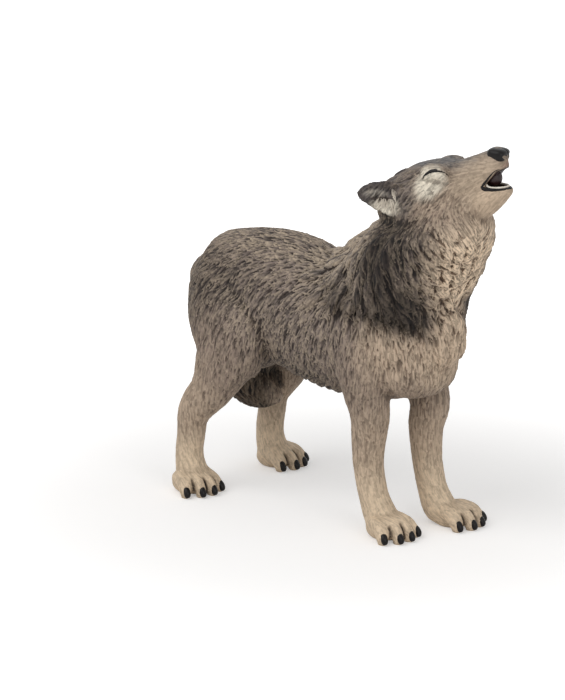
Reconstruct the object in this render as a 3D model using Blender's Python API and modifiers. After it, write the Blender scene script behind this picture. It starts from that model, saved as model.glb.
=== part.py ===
# Howling wolf figurine, a solid casting in painted PVC, about a tenth of a metre tall.
# Sizes are in millimetres and turned to metres when a mesh is made. The wolf looks along +X,
# +Y is its left side and its soles stand on z = 0.
#
# The body is built as a sculptor blocks it out: lofted masses are fused into one skin, muscles
# and folds are pressed into it, carved locks of fur are laid on along the way the coat grows,
# and the result is thinned to a mesh that is easy to carry, with four soles cut flat.

import math

import bmesh
import bpy
import numpy as np
from mathutils import Vector
from mathutils.bvhtree import BVHTree

MM = 0.001

# Stance: where the four paws stand
HIND_X = -32.2
HIND_SPREAD = 15.0
HIND_STEP = -0.4
FRONT_X = 29.6
FRONT_SPREAD = 8.0
FRONT_STEP = 5.0

# Heights of the trunk
BACK_HEIGHT = 68.0
BELLY_HEIGHT = 30.0
TRUNK_HALF_WIDTH = 13.2

# Legs
HOCK_HEIGHT = 20.0
HOCK_SETBACK = 1.9
KNEE_HEIGHT = 38.0
KNEE_REACH = 7.9
ELBOW_HEIGHT = 35.0
PASTERN_RADIUS = 3.8
HIND_SHANK_RADIUS = 3.4

# Paws
PAW_HALF_WIDTH = 5.4
PAW_HEIGHT = 5.6
TOE_REACH = 4.0
TOE_RADIUS = 1.6
TOE_SPACING = 3.0
CLAW_LENGTH = 2.3
CLAW_RADIUS = 0.75
HIND_TOE_OUT = 10.0
FRONT_TOE_OUT = 8.0

# Neck and ruff
NECK_TOP_X = 35.0
NECK_DROP = 6.9
RUFF_RADIUS = 16.6

# Head, in its own frame: u runs forward along the muzzle's heading, v to the left, z up
HEAD_X = 38.0
HEAD_Y = 1.0
HEAD_TURN = 16.0
CHEEK_HALF_WIDTH = 9.2
MOUTH_HEIGHT = 89.9
SKULL_RISE = 5.1
NOSE_RISE = 9.1
MUZZLE_REACH = 16.0
MUZZLE_HALF_WIDTH = 3.9
EAR_LENGTH = 10.4
EAR_BASE = 4.8
EAR_WALL = 0.72
EAR_HOLLOW = 2.4

# Tail
TAIL_RADIUS = 6.0
TAIL_TIP_Z = 19.5

# Carved locks of fur
LOCK_WIDTH = 3.1
LOCK_LENGTH = 12.0
LOCK_HEIGHT = 1.5
LOCK_SPACING = 3.9
RUFF_ROWS = 4
ROW_PITCH = 5.2
RUFF_TILT = 2.0
LOCK_STEP = 1.0
FRINGE_LENGTH = 8.0

# Mouth
MOUTH_DEPTH = 4.5
MOUTH_GAPE = 4.4
LIP_WALL = 0.9

# Mesh grain
MERGE = 0.02
SOLE_SNAP = 0.12
BLOCK_VOXEL = 0.65
SKIN_VOXEL = 0.5
FACETS = 11400

COAT_COLOUR = (0.30, 0.26, 0.235, 1.0)
COAT_ROUGHNESS = 0.62


def smooth_rows(rows, step=1.0):
    """Rows of hand-set stations, filled in by a Catmull-Rom curve through every column."""
    rows = np.asarray(rows, float)
    padded = np.vstack([2 * rows[0] - rows[1], rows, 2 * rows[-1] - rows[-2]])
    filled = []
    for i in range(1, len(padded) - 2):
        a, b, c, d = padded[i - 1:i + 3]
        count = max(2, int(math.ceil(np.linalg.norm((c - b)[:3]) / step)))
        t = np.linspace(0, 1, count, endpoint=False)[:, None]
        filled.append(0.5 * (2 * b + (c - a) * t + (2 * a - 5 * b + 4 * c - d) * t ** 2
                             + (3 * b - a - 3 * c + d) * t ** 3))
    return np.vstack(filled + [rows[-1:]])


def tube_faces(rings, segments):
    """Quads between rings of equal size, with a pole vertex at each end."""
    ring = np.arange(segments)
    after = (ring + 1) % segments
    faces = []
    for i in range(rings - 1):
        low, high = 1 + i * segments, 1 + (i + 1) * segments
        faces += np.stack([low + ring, low + after, high + after, high + ring], 1).tolist()
    last = 1 + (rings - 1) * segments
    pole = last + segments
    faces += [(0, 1 + b, 1 + a) for a, b in zip(ring.tolist(), after.tolist())]
    faces += [(pole, last + a, last + b) for a, b in zip(ring.tolist(), after.tolist())]
    return faces


def sweep(centres, side_axes, out_axes, half_side, half_out, segments, bow=0.0):
    """Closed tube whose ring i is centre + half_side cos a side + half_out sin a out."""
    angle = np.linspace(0, 2 * math.pi, segments, endpoint=False)
    across = np.cos(angle)[None, :, None]
    outward = np.sin(angle)[None, :, None]
    half_side = np.asarray(half_side, float)[:, None, None]
    half_out = np.asarray(half_out, float)[:, None, None]
    bend = np.asarray(bow, float) * np.ones(len(centres))
    rings = (centres[:, None, :] + half_side * across * side_axes[:, None, :]
             + (half_out * outward + bend[:, None, None] * (1 - across ** 2)) * out_axes[:, None, :])
    points = np.vstack([centres[:1], rings.reshape(-1, 3), centres[-1:]])
    return points, tube_faces(len(centres), segments)


def loft(rows, side=(0, 1, 0), segments=28, dome=0.7, square_to=None):
    """Mass along a path. A row is x, y, z, half width along the side axis, half depth.
    Sections stand square to the path, or to one fixed direction."""
    rows = smooth_rows(rows)
    centres, half_side, half_depth = rows[:, :3], rows[:, 3], rows[:, 4]
    ahead = np.gradient(centres, axis=0)
    if square_to is not None:
        ahead = np.tile(np.asarray(square_to, float), (len(rows), 1))
    ahead /= np.linalg.norm(ahead, axis=1)[:, None]
    side = np.asarray(side, float)
    side_axes = side - (ahead @ side)[:, None] * ahead
    side_axes /= np.linalg.norm(side_axes, axis=1)[:, None]
    out_axes = np.cross(ahead, side_axes)
    cap = np.radians([75, 50, 25])
    reach_start = dome * min(half_side[0], half_depth[0])
    reach_end = dome * min(half_side[-1], half_depth[-1])
    start = centres[0] - ahead[0] * (reach_start * np.sin(cap))[:, None]
    end = centres[-1] + ahead[-1] * (reach_end * np.sin(cap[::-1]))[:, None]
    centres = np.vstack([start, centres, end])
    grow = np.cos(cap)
    half_side = np.concatenate([half_side[0] * grow, half_side, half_side[-1] * grow[::-1]])
    half_depth = np.concatenate([half_depth[0] * grow, half_depth, half_depth[-1] * grow[::-1]])
    side_axes = np.vstack([side_axes[:1]] * 3 + [side_axes] + [side_axes[-1:]] * 3)
    out_axes = np.vstack([out_axes[:1]] * 3 + [out_axes] + [out_axes[-1:]] * 3)
    return sweep(centres, side_axes, out_axes, half_side, half_depth, segments)


def ball(centre, radii, turn=0.0, pitch=0.0):
    """Ellipsoid as a short loft of one path along its own length, turned about z in degrees."""
    a = math.radians(turn)
    b = math.radians(pitch)
    ahead = np.array([math.cos(a) * math.cos(b), math.sin(a) * math.cos(b), math.sin(b)])
    side = np.array([-math.sin(a), math.cos(a), 0.0])
    out = np.cross(ahead, side)
    polar = np.radians(np.linspace(-85, 85, 15))
    centres = np.asarray(centre, float) + radii[0] * np.sin(polar)[:, None] * ahead
    count = len(polar)
    return sweep(centres, np.tile(side, (count, 1)), np.tile(out, (count, 1)),
                 radii[1] * np.cos(polar), radii[2] * np.cos(polar), 20)


def trunk():
    top, low, wide = BACK_HEIGHT, BELLY_HEIGHT, TRUNK_HALF_WIDTH
    # x, back, belly, half width
    stations = [
        (-41.6, top - 8.6, low + 17.0, 0.50 * wide),
        (-39.8, top - 5.8, low + 13.5, 0.70 * wide),
        (-36.0, top - 3.2, low + 10.0, 0.87 * wide),
        (-29.0, top - 1.0, low + 9.0, 0.97 * wide),
        (-20.0, top + 0.5, low + 7.4, 0.98 * wide),
        (-11.0, top + 0.6, low + 5.4, 1.0 * wide),
        (-3.0, top - 1.6, low + 3.2, 1.03 * wide),
        (6.0, top - 2.4, low + 1.8, 1.06 * wide),
        (16.0, top + 0.5, low + 1.2, 1.06 * wide),
        (26.0, top - 1.0, low + 3.0, 1.0 * wide),
        (33.0, top - 5.0, low + 7.0, 0.85 * wide),
        (38.0, top - 11.0, low + 13.0, 0.5 * wide),
    ]
    return [loft([(x, 0.0, (up + down) / 2, half, (up - down) / 2)
                  for x, up, down, half in stations])]


def paw(x, y, turn):
    """Pad on which the toes stand, with the heading turned outwards from +X."""
    a = math.radians(turn)
    ahead = np.array([math.cos(a), math.sin(a), 0.0])
    centre = np.array([x, y, 0.0])
    return [ball(centre - 1.1 * ahead + (0, 0, 0.40 * PAW_HEIGHT),
                 (5.5, PAW_HALF_WIDTH - 0.3, 0.58 * PAW_HEIGHT), turn)]


def toes(x, y, turn):
    """Four arched toes, each with a blunt claw down its front."""
    a = math.radians(turn)
    side = np.array([-math.sin(a), math.cos(a), 0.0])
    ahead = np.array([math.cos(a), math.sin(a), 0.0])
    pieces = []
    for place in (-1.5, -0.5, 0.5, 1.5):
        reach = TOE_REACH if abs(place) < 1 else 0.55 * TOE_REACH
        b = math.radians(turn + 9.0 * place)
        out = np.array([math.cos(b), math.sin(b), 0.0])
        base = np.array([x, y, 0.0]) + (reach - 1.0) * ahead + place * TOE_SPACING * side
        height, r = PAW_HEIGHT, TOE_RADIUS
        path = [(-4.4, 0.66 * height, 0.80 * r, 0.9 * r), (-1.2, 0.70 * height, 0.95 * r, 1.15 * r),
                (1.2, 0.56 * height, r, 1.2 * r), (2.3, 0.32 * height, 0.98 * r, 1.05 * r),
                (2.5, 0.12 * height, 0.9 * r, 0.9 * r)]
        pieces.append(loft([(*(base + out * along)[:2], z, half, deep)
                            for along, z, half, deep in path], side=tuple(side), segments=16))
        pieces.append(loft([(*(base + out * (2.9 + along))[:2], z, half, CLAW_RADIUS)
                            for along, z, half in ((0.0, CLAW_LENGTH, 0.85 * CLAW_RADIUS),
                                                   (0.75, 0.55 * CLAW_LENGTH, CLAW_RADIUS),
                                                   (1.05, 0.18 * CLAW_LENGTH, 0.8 * CLAW_RADIUS))],
                           side=tuple(side), segments=12))
    return pieces


def hind_foot(sign, step):
    """Where a hind paw stands and which way it heads, in degrees from +X."""
    return HIND_X + step, sign * (HIND_SPREAD + 1.0), sign * HIND_TOE_OUT


def front_foot(sign, step):
    """Where a front paw stands and which way it heads, in degrees from +X."""
    return FRONT_X + step, sign * (FRONT_SPREAD + 1.6), sign * FRONT_TOE_OUT


def hind_leg(sign, step):
    x, y = HIND_X + step, sign * HIND_SPREAD
    ankle = x - 2.7
    hock = x - HOCK_SETBACK
    knee = x + KNEE_REACH
    inner = 0.55 * TRUNK_HALF_WIDTH
    shank = HIND_SHANK_RADIUS
    rows = [
        (x + 1.0, sign * inner, BACK_HEIGHT - 13.0, 6.0, 10.0),
        (knee - 3.5, sign * (inner + 2.6), BACK_HEIGHT - 21.0, 6.2, 11.2),
        (knee + 0.8, sign * (HIND_SPREAD - 3.2), KNEE_HEIGHT + 2.0, 5.7, 10.9),
        (knee - 1.0, sign * (HIND_SPREAD - 1.8), KNEE_HEIGHT - 5.0, 5.1, 7.9),
        (knee - 3.6, sign * (HIND_SPREAD - 1.0), KNEE_HEIGHT - 10.5, 4.6, 5.8),
        (hock + 3.0, y, HOCK_HEIGHT + 3.6, 4.0, 5.0),
        (hock + 0.6, y, HOCK_HEIGHT - 0.2, 3.6, 4.4),
        (hock + 0.1, y, HOCK_HEIGHT - 4.6, 0.96 * shank, 1.2 * shank),
        (ankle + 0.1, y, 0.5 * HOCK_HEIGHT, shank, 1.15 * shank),
        (ankle + 0.6, y, PAW_HEIGHT + 0.6, 1.15 * shank, 1.2 * shank),
        (ankle + 1.6, y, PAW_HEIGHT - 1.8, 1.2 * shank, 1.2 * shank),
    ]
    return [loft(rows)] + paw(*hind_foot(sign, step))


def front_leg(sign, step):
    x, y = FRONT_X + step, sign * FRONT_SPREAD
    ankle = x - 5.6
    wrist = x - 8.0
    pastern = PASTERN_RADIUS
    shoulder_x = FRONT_X - 9.0 + 0.6 * step
    rows = [
        (shoulder_x - 1.0, sign * 0.62 * TRUNK_HALF_WIDTH, BACK_HEIGHT - 12.0, 5.4, 9.0),
        (shoulder_x - 0.5, sign * 0.72 * TRUNK_HALF_WIDTH, ELBOW_HEIGHT + 10.0, 5.4, 8.6),
        (shoulder_x + 0.6, sign * 0.70 * TRUNK_HALF_WIDTH, ELBOW_HEIGHT + 1.0, 5.1, 6.4),
        (wrist + 0.6 - 0.15 * step, sign * 0.66 * TRUNK_HALF_WIDTH, ELBOW_HEIGHT - 5.0, 4.6, 5.3),
        (wrist - 0.3 - 0.1 * step, y, 0.7 * ELBOW_HEIGHT, 4.2, 4.7),
        (wrist - 0.6, y, 0.53 * ELBOW_HEIGHT, 1.02 * pastern, 1.06 * pastern),
        (wrist, y, 0.40 * ELBOW_HEIGHT, pastern, pastern),
        (ankle - 0.9, y, PAW_HEIGHT + 3.0, pastern, pastern),
        (ankle + 0.8, y, PAW_HEIGHT - 0.4, 1.08 * pastern, 1.1 * pastern),
        (ankle + 2.0, y, PAW_HEIGHT - 2.0, 1.1 * pastern, 1.1 * pastern),
    ]
    return [loft(rows)] + paw(*front_foot(sign, step))


def neck():
    """Chest, neck and ruff as level sections from the breastbone up to the skull."""
    ruff = RUFF_RADIUS
    top = BACK_HEIGHT
    crown = MOUTH_HEIGHT - NECK_DROP
    rows = [
        (28.8, 0.0, top - 27.0, 0.66 * ruff, 0.62 * ruff),
        (28.2, 0.0, top - 21.0, 0.70 * ruff, 0.69 * ruff),
        (26.6, 0.0, top - 15.5, 0.74 * ruff, 0.72 * ruff),
        (26.8, 0.0, top - 9.5, 0.83 * ruff, 0.78 * ruff),
        (28.8, 0.0, top - 3.2, 0.93 * ruff, 0.88 * ruff),
        (31.0, 0.0, top + 3.0, 0.95 * ruff, 0.91 * ruff),
        (33.6, 0.2, top + 6.2, 0.91 * ruff, 0.87 * ruff),
        (36.4, 0.5, top + 9.5, 0.81 * ruff, 0.78 * ruff),
        (NECK_TOP_X + 3.6, 0.8, crown - 3.5, 0.71 * ruff, 0.66 * ruff),
        (NECK_TOP_X + 4.2, 1.0, crown, 0.54 * ruff, 0.52 * ruff),
        (NECK_TOP_X + 3.4, 1.0, crown + 4.0, 0.40 * ruff, 0.38 * ruff),
    ]
    crest = [
        (2.0, 0.0, top - 12.0, 0.58 * ruff, 0.48 * ruff),
        (8.5, 0.0, top - 10.0, 0.64 * ruff, 0.54 * ruff),
        (15.5, 0.0, top - 6.6, 0.70 * ruff, 0.58 * ruff),
        (24.0, 0.0, top - 0.5, 0.72 * ruff, 0.60 * ruff),
    ]
    return [loft(rows, square_to=(0, 0, 1)), loft(crest)]


def to_body(points):
    """From the head's own frame, u forward, v left, z up, to the body's."""
    a = math.radians(HEAD_TURN)
    turned = np.array(points, float)
    u, v = turned[..., 0].copy(), turned[..., 1].copy()
    turned[..., 0] = HEAD_X + u * math.cos(a) - v * math.sin(a)
    turned[..., 1] = HEAD_Y + u * math.sin(a) + v * math.cos(a)
    return turned


def upright(rows, **how):
    """Loft with upright sections. A row is u, top, bottom, half width, in the head's frame."""
    return loft([(u, 0, (up + down) / 2, half, (up - down) / 2) for u, up, down, half in rows],
                square_to=(1, 0, 0), **how)


def head():
    """Skull, muzzle, open lower jaw and brows."""
    cheek, muzzle, reach = CHEEK_HALF_WIDTH, MUZZLE_HALF_WIDTH, MUZZLE_REACH
    mouth, crown = MOUTH_HEIGHT, MOUTH_HEIGHT + SKULL_RISE
    skull = [
        (-13.2, crown - 5.6, crown - 19.0, 0.74 * cheek),
        (-11.5, crown - 4.3, crown - 19.6, 0.82 * cheek),
        (-8.0, crown - 2.1, crown - 19.0, 0.93 * cheek),
        (-3.0, crown - 0.5, crown - 17.0, 0.90 * cheek),
        (1.0, crown - 0.1, crown - 15.0, 0.78 * cheek),
        (4.0, crown - 0.7, crown - 13.0, 0.65 * cheek),
        (6.0, crown - 0.4, crown - 10.5, 0.55 * cheek),
    ]
    snout = [
        (3.0, mouth + 4.8, mouth - 7.0, 1.52 * muzzle),
        (0.37 * reach, mouth + 6.0, mouth - 6.0, 1.32 * muzzle),
        (0.54 * reach, mouth + 7.2, mouth - 5.0, 1.18 * muzzle),
        (0.68 * reach, mouth + 8.1, mouth - 3.6, 1.12 * muzzle),
        (0.79 * reach, mouth + 8.4, mouth - 1.2, 0.98 * muzzle),
        (0.87 * reach, mouth + 7.9, mouth + 1.0, 0.80 * muzzle),
        (0.93 * reach, mouth + 6.4, mouth + 2.6, 0.60 * muzzle),
    ]
    jaw = [
        (-2.0, mouth - 1.5, mouth - 14.0, 1.95 * muzzle),
        (0.24 * reach, mouth - 1.2, mouth - 12.0, 1.62 * muzzle),
        (0.50 * reach, mouth + 1.0, mouth - 10.2, 1.34 * muzzle),
        (0.69 * reach, mouth + 1.4, mouth - 8.5, 1.16 * muzzle),
        (0.84 * reach, mouth + 1.2, mouth - 6.4, 0.96 * muzzle),
        (0.96 * reach, mouth + 0.6, mouth - 4.4, 0.76 * muzzle),
        (1.03 * reach, mouth + 0.0, mouth - 2.8, 0.52 * muzzle),
    ]
    masses = [upright(skull), upright(snout), upright(jaw)]
    for sign in (-1, 1):
        masses.append(ball((-1.2, sign * 0.60 * cheek, crown - 1.6), (3.6, 1.9, 1.3), 0, 8))
        masses.append(ball((-5.2, sign * 0.76 * cheek, crown - 13.5), (5.4, 3.0, 4.6), 0, 20))
    return [(to_body(points), faces) for points, faces in masses]


def face():
    """Nose pad, closed eyelids and lower lip, sharper than the masses under them."""
    cheek, muzzle, reach = CHEEK_HALF_WIDTH, MUZZLE_HALF_WIDTH, MUZZLE_REACH
    tip, crown = MOUTH_HEIGHT + NOSE_RISE, MOUTH_HEIGHT + SKULL_RISE
    nose = [
        (0.74 * reach, tip - 0.3, tip - 2.2, 0.50 * muzzle),
        (0.81 * reach, tip, tip - 3.1, 0.66 * muzzle),
        (0.90 * reach, tip - 0.3, tip - 3.5, 0.66 * muzzle),
        (0.95 * reach, tip - 1.1, tip - 3.2, 0.48 * muzzle),
    ]
    masses = [upright(nose, segments=20)]
    for sign in (-1, 1):
        lid = [(-3.0, sign * 0.77 * cheek, crown - 3.6, 0.5, 0.7),
               (-1.2, sign * 0.78 * cheek, crown - 2.9, 0.75, 1.2),
               (1.2, sign * 0.745 * cheek, crown - 2.9, 0.75, 1.2),
               (3.0, sign * 0.68 * cheek, crown - 3.8, 0.5, 0.7)]
        masses.append(loft(lid, side=(0, 1, 0), segments=14))
    return [(to_body(points), faces) for points, faces in masses]


def ear(sign):
    """Folded-back ear: crescent sections from the base to the tip, hollow side outwards."""
    base = np.array([-9.2, sign * 9.7, MOUTH_HEIGHT - 4.7])
    tip = base + np.array([-EAR_LENGTH, sign * 0.3, 1.0])
    t = np.linspace(0, 1, 14)
    centres = base + t[:, None] * (tip - base)
    centres[:, 2] += 0.5 * np.sin(math.pi * t)
    ahead = (tip - base) / np.linalg.norm(tip - base)
    chord = np.array([0.16, 0.0, 1.0])
    chord -= ahead * (chord @ ahead)
    chord /= np.linalg.norm(chord)
    outward = np.cross(ahead, chord) * (1 if np.cross(ahead, chord)[1] * sign > 0 else -1)
    width = EAR_BASE * np.sqrt(np.clip(1 - t ** 1.5, 0.004, 1))
    wall = EAR_WALL * (1 - 0.35 * t)
    bow = -EAR_HOLLOW * (1 - t) - 0.3
    points, faces = sweep(centres, np.tile(chord, (14, 1)), np.tile(outward, (14, 1)),
                          width, wall, 28, bow)
    if sign > 0:
        faces = [face[::-1] for face in faces]
    back = ball(base + (-1.6, -sign * 3.0, -0.3), (4.6, 1.9, 0.8 * EAR_BASE))
    return [(to_body(points), faces), (to_body(back[0]), back[1])]


def tail():
    """The tail tucked forward between the thighs, the groin, and the hair that lies on the left thigh."""
    r = TAIL_RADIUS
    rows = [
        (-36.0, 0.0, BACK_HEIGHT - 9.5, 0.7 * r, 0.6 * r),
        (-41.0, 0.1, BACK_HEIGHT - 15.0, 0.8 * r, 0.72 * r),
        (-41.8, 0.6, 0.66 * BACK_HEIGHT, 0.9 * r, 0.8 * r),
        (-40.4, 1.6, 0.54 * BACK_HEIGHT, 0.95 * r, 0.95 * r),
        (-36.5, 3.0, TAIL_TIP_Z + 11.0, 0.95 * r, 1.05 * r),
        (-32.5, 4.8, TAIL_TIP_Z + 5.5, 0.85 * r, 1.05 * r),
        (-28.5, 6.6, TAIL_TIP_Z + 3.0, 0.65 * r, 0.8 * r),
        (-25.6, 8.2, TAIL_TIP_Z + 2.0, 0.35 * r, 0.35 * r),
    ]
    groin = ball((-26.0, 0.0, KNEE_HEIGHT), (9.5, 0.75 * TRUNK_HALF_WIDTH, 7.0))
    tuft = ball((-30.8, 6.6, KNEE_HEIGHT - 3.6), (r, 0.77 * r, 1.23 * r))
    return [loft(rows), groin, tuft]


def mesh_object(name, pieces, collection):
    """One object from several closed pieces given in millimetres."""
    points, faces, base = [], [], 0
    for piece_points, piece_faces in pieces:
        points.append(piece_points)
        faces += [[i + base for i in face] for face in piece_faces]
        base += len(piece_points)
    mesh = bpy.data.meshes.new(name)
    mesh.from_pydata((np.vstack(points) * MM).tolist(), [], faces)
    obj = bpy.data.objects.new(name, mesh)
    collection.objects.link(obj)
    return obj


def bake(obj):
    """Replaces the object's mesh by the one its modifiers make."""
    bpy.context.view_layer.update()
    depsgraph = bpy.context.evaluated_depsgraph_get()
    mesh = bpy.data.meshes.new_from_object(obj.evaluated_get(depsgraph))
    obj.modifiers.clear()
    old = obj.data
    obj.data = mesh
    bpy.data.meshes.remove(old)


def remesh(obj, voxel):
    """Fuses overlapping closed pieces into one skin."""
    modifier = obj.modifiers.new("fuse", "REMESH")
    modifier.mode = "VOXEL"
    modifier.voxel_size = voxel * MM
    bake(obj)


def vertex_array(obj):
    points = np.empty(len(obj.data.vertices) * 3, np.float32)
    obj.data.vertices.foreach_get("co", points)
    return points.reshape(-1, 3).astype(float) / MM


def set_vertices(obj, points):
    obj.data.vertices.foreach_set("co", (points * MM).astype(np.float32).ravel())
    obj.data.update()


def relax(obj, rounds, weight=None):
    """Laplacian smoothing: each point moves half way to its neighbours' mean."""
    edges = np.empty(len(obj.data.edges) * 2, np.int32)
    obj.data.edges.foreach_get("vertices", edges)
    a, b = edges[0::2], edges[1::2]
    points = vertex_array(obj)
    count = np.bincount(a, minlength=len(points)) + np.bincount(b, minlength=len(points))
    share = 0.5 if weight is None else 0.5 * weight[:, None]
    for _ in range(rounds):
        total = np.stack([np.bincount(a, points[b, k], len(points))
                          + np.bincount(b, points[a, k], len(points)) for k in range(3)], 1)
        points += share * (total / count[:, None] - points)
    set_vertices(obj, points)


# Which way the coat grows: places on the right half of the body and the way fur lies there
COAT = [
    ((-30, -3, 67), (-1.0, 0.0, -0.1)),
    ((-10, -3, 68), (-1.0, 0.0, 0.0)),
    ((-42, -5, 58), (-0.5, 0.0, -0.9)),
    ((-5, -13, 58), (-0.8, 0.0, -0.6)),
    ((0, -14, 48), (-0.5, 0.0, -0.9)),
    ((0, -12, 36), (-0.3, 0.2, -1.0)),
    ((-30, -13, 58), (-0.7, 0.0, -0.7)),
    ((-20, -13, 48), (-0.1, 0.0, -1.0)),
    ((-36, -12, 46), (-0.3, 0.0, -1.0)),
    ((22, -13, 48), (-0.2, 0.0, -1.0)),
    ((27, -11, 81), (-0.4, 0.0, -0.95)),
    ((17, -6, 74), (-0.85, 0.0, -0.5)),
    ((14, -12, 66), (-0.6, 0.0, -0.8)),
    ((26, -16, 70), (-0.15, 0.0, -1.0)),
    ((28, -16, 61), (0.1, 0.0, -1.0)),
    ((38, -13, 70), (0.35, 0.1, -0.9)),
    ((36, -13, 62), (0.45, 0.2, -0.9)),
    ((38, -10, 54), (0.3, 0.2, -1.0)),
    ((46, -4, 70), (0.0, 0.0, -1.0)),
    ((42, -3, 52), (-0.2, 0.0, -1.0)),
]


def grow(point):
    """Direction of the fur at a point: the places above weighed by nearness, mirrored in y."""
    sign = 1.0 if point[1] > 0 else -1.0
    places = np.array([place for place, _ in COAT], float)
    ways = np.array([way for _, way in COAT], float)
    here = np.array([point[0], -abs(point[1]), point[2]])
    weight = np.exp(-((places - here) ** 2).sum(1) / (2 * 7.0 ** 2)) + 1e-9
    way = (weight[:, None] * ways).sum(0)
    way[1] *= -sign
    return way / np.linalg.norm(way)


def on_skin(tree, point):
    """Nearest point of the skin and its outward normal, in millimetres."""
    place, normal, _, _ = tree.find_nearest(Vector(point * MM))
    return np.array(place) / MM, np.array(normal)


def lock(tree, root, length, width, height, wave, lift):
    """A pointed ridge that follows the coat from its root, waving a little, its tip raised."""
    steps = max(5, int(length / LOCK_STEP))
    point, normal = on_skin(tree, root)
    centres, sides, normals = [], [], []
    for i in range(steps + 1):
        way = grow(point)
        way -= normal * (way @ normal)
        way /= np.linalg.norm(way) + 1e-9
        side = np.cross(normal, way)
        t = i / steps
        centres.append(point + side * wave * math.sin(2 * math.pi * t) + normal * lift * t * t)
        sides.append(side)
        normals.append(normal)
        point, normal = on_skin(tree, point + way * length / steps)
    t = np.linspace(0, 1, steps + 1)
    body = np.sin(math.pi * t ** 1.25) ** 0.7
    half_width = 0.5 * width * np.maximum(body, 0.06)
    half_height = height * np.maximum(body, 0.06)
    return sweep(np.array(centres), np.array(sides), -np.array(normals),
                 half_width, half_height, 8)


def ring_roots(tree, centre_x, heights, angles):
    """Points of the skin seen from outside at given heights and angles from the chest's front."""
    roots = []
    for angle, z in zip(angles, heights):
        a = math.radians(angle)
        way = np.array([math.cos(a), math.sin(a), 0.0])
        start = np.array([centre_x, 0.0, z]) + 2.7 * RUFF_RADIUS * way
        hit, _, _, _ = tree.ray_cast(Vector(start * MM), Vector(-way))
        if hit is not None:
            roots.append(np.array(hit) / MM)
    return roots


def ruff(tree):
    """Rows of locks round the neck, each row covering the roots of the one below. The rows lie
    lower at the throat than at the nape, and the throat's locks are smaller."""
    locks = []
    count = max(8, int(round(2 * math.pi * RUFF_RADIUS / LOCK_SPACING)))
    for row in range(RUFF_ROWS):
        angles = (np.arange(count) + 0.5 * (row % 2)) * 360.0 / count
        around = np.cos(np.radians(angles))
        heights = BACK_HEIGHT - 5.0 + row * ROW_PITCH - RUFF_TILT * around
        for k, root in enumerate(ring_roots(tree, 29.0 + 1.6 * row, heights, angles)):
            swing = math.sin(2.4 * k + 1.7 * row)
            size = 0.94 - 0.28 * max(0.0, around[k]) + 0.06 * swing
            reach = LOCK_LENGTH * (size + 0.12 * swing) * (1.1 if row == 0 else 0.95)
            locks.append(lock(tree, root, reach, LOCK_WIDTH * size, LOCK_HEIGHT * size,
                              0.45 * math.cos(1.3 * k), 0.9 if row == 0 else 0.5))
    return locks


def chest(tree):
    """Shorter tufts that carry the ruff down the breast between the shoulders."""
    locks = []
    for row, z in enumerate((BACK_HEIGHT - 10.0, BACK_HEIGHT - 15.5)):
        half = 50.0 - 14.0 * row
        angles = np.arange(-half, half + 1, 14.0) + 7.0 * (row % 2)
        for k, root in enumerate(ring_roots(tree, 27.0, np.full(len(angles), z), angles)):
            locks.append(lock(tree, root, 0.7 * LOCK_LENGTH, 0.8 * LOCK_WIDTH,
                              0.5 * LOCK_HEIGHT, 0.3 * math.cos(1.9 * k), 0.2))
    return locks


def fringe(tree):
    """Ragged hair along both edges of the belly."""
    locks = []
    for sign in (-1, 1):
        for k in range(12):
            x = -18.0 + k * 2.9
            swing = math.sin(2.7 * k)
            root = np.array([x, sign * 0.74 * TRUNK_HALF_WIDTH,
                             BELLY_HEIGHT + 8.0 - 0.14 * x + 1.2 * swing])
            locks.append(lock(tree, root, FRINGE_LENGTH * (1 + 0.25 * swing), 0.8 * LOCK_WIDTH,
                              0.65 * LOCK_HEIGHT, 0.3 * math.cos(2.1 * k), 0.6))
    return locks


def mouth_cutter(collection):
    """Wedge that opens the jaws to the corner of the mouth, and the hollow between the lips."""
    mouth, reach, muzzle = MOUTH_HEIGHT, MUZZLE_REACH, MUZZLE_HALF_WIDTH
    corner = reach - MOUTH_DEPTH
    wedge = [
        (corner, mouth + 0.2, mouth - 0.4, 2.2 * muzzle),
        (corner + 0.3 * MOUTH_DEPTH, mouth + 0.40 * MOUTH_GAPE, mouth - 0.6, 2.2 * muzzle),
        (corner + 0.65 * MOUTH_DEPTH, mouth + 0.78 * MOUTH_GAPE, mouth - 0.6, 2.2 * muzzle),
        (corner + 1.3 * MOUTH_DEPTH, mouth + 1.0 * MOUTH_GAPE, mouth - 0.5, 2.2 * muzzle),
    ]
    hollow = [
        (corner - 3.0, mouth + 0.2, mouth - 1.2, 0.35 * muzzle),
        (corner + 0.2 * MOUTH_DEPTH, mouth + 1.6, mouth - 2.0, muzzle - 1.2 * LIP_WALL),
        (corner + 0.7 * MOUTH_DEPTH, mouth + MOUTH_GAPE, mouth - 2.2, 0.8 * muzzle - LIP_WALL),
        (corner + 0.9 * MOUTH_DEPTH, mouth + 0.9 * MOUTH_GAPE, mouth - 1.6, 0.6 * muzzle - LIP_WALL),
    ]
    cutters = []
    for name, rows in (("mouth_wedge", wedge), ("mouth_hollow", hollow)):
        points, faces = upright(rows, segments=16)
        cutters.append(mesh_object(name, [(to_body(points), faces)], collection))
    return cutters


def cut(obj, cutter):
    modifier = obj.modifiers.new(cutter.name, "BOOLEAN")
    modifier.operation = "DIFFERENCE"
    modifier.object = cutter
    bake(obj)


def thin(obj, facets):
    """Collapses edges until about this many triangles are left."""
    triangles = sum(len(polygon.vertices) - 2 for polygon in obj.data.polygons)
    modifier = obj.modifiers.new("thin", "DECIMATE")
    modifier.ratio = min(1.0, facets / triangles)
    bake(obj)


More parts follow.
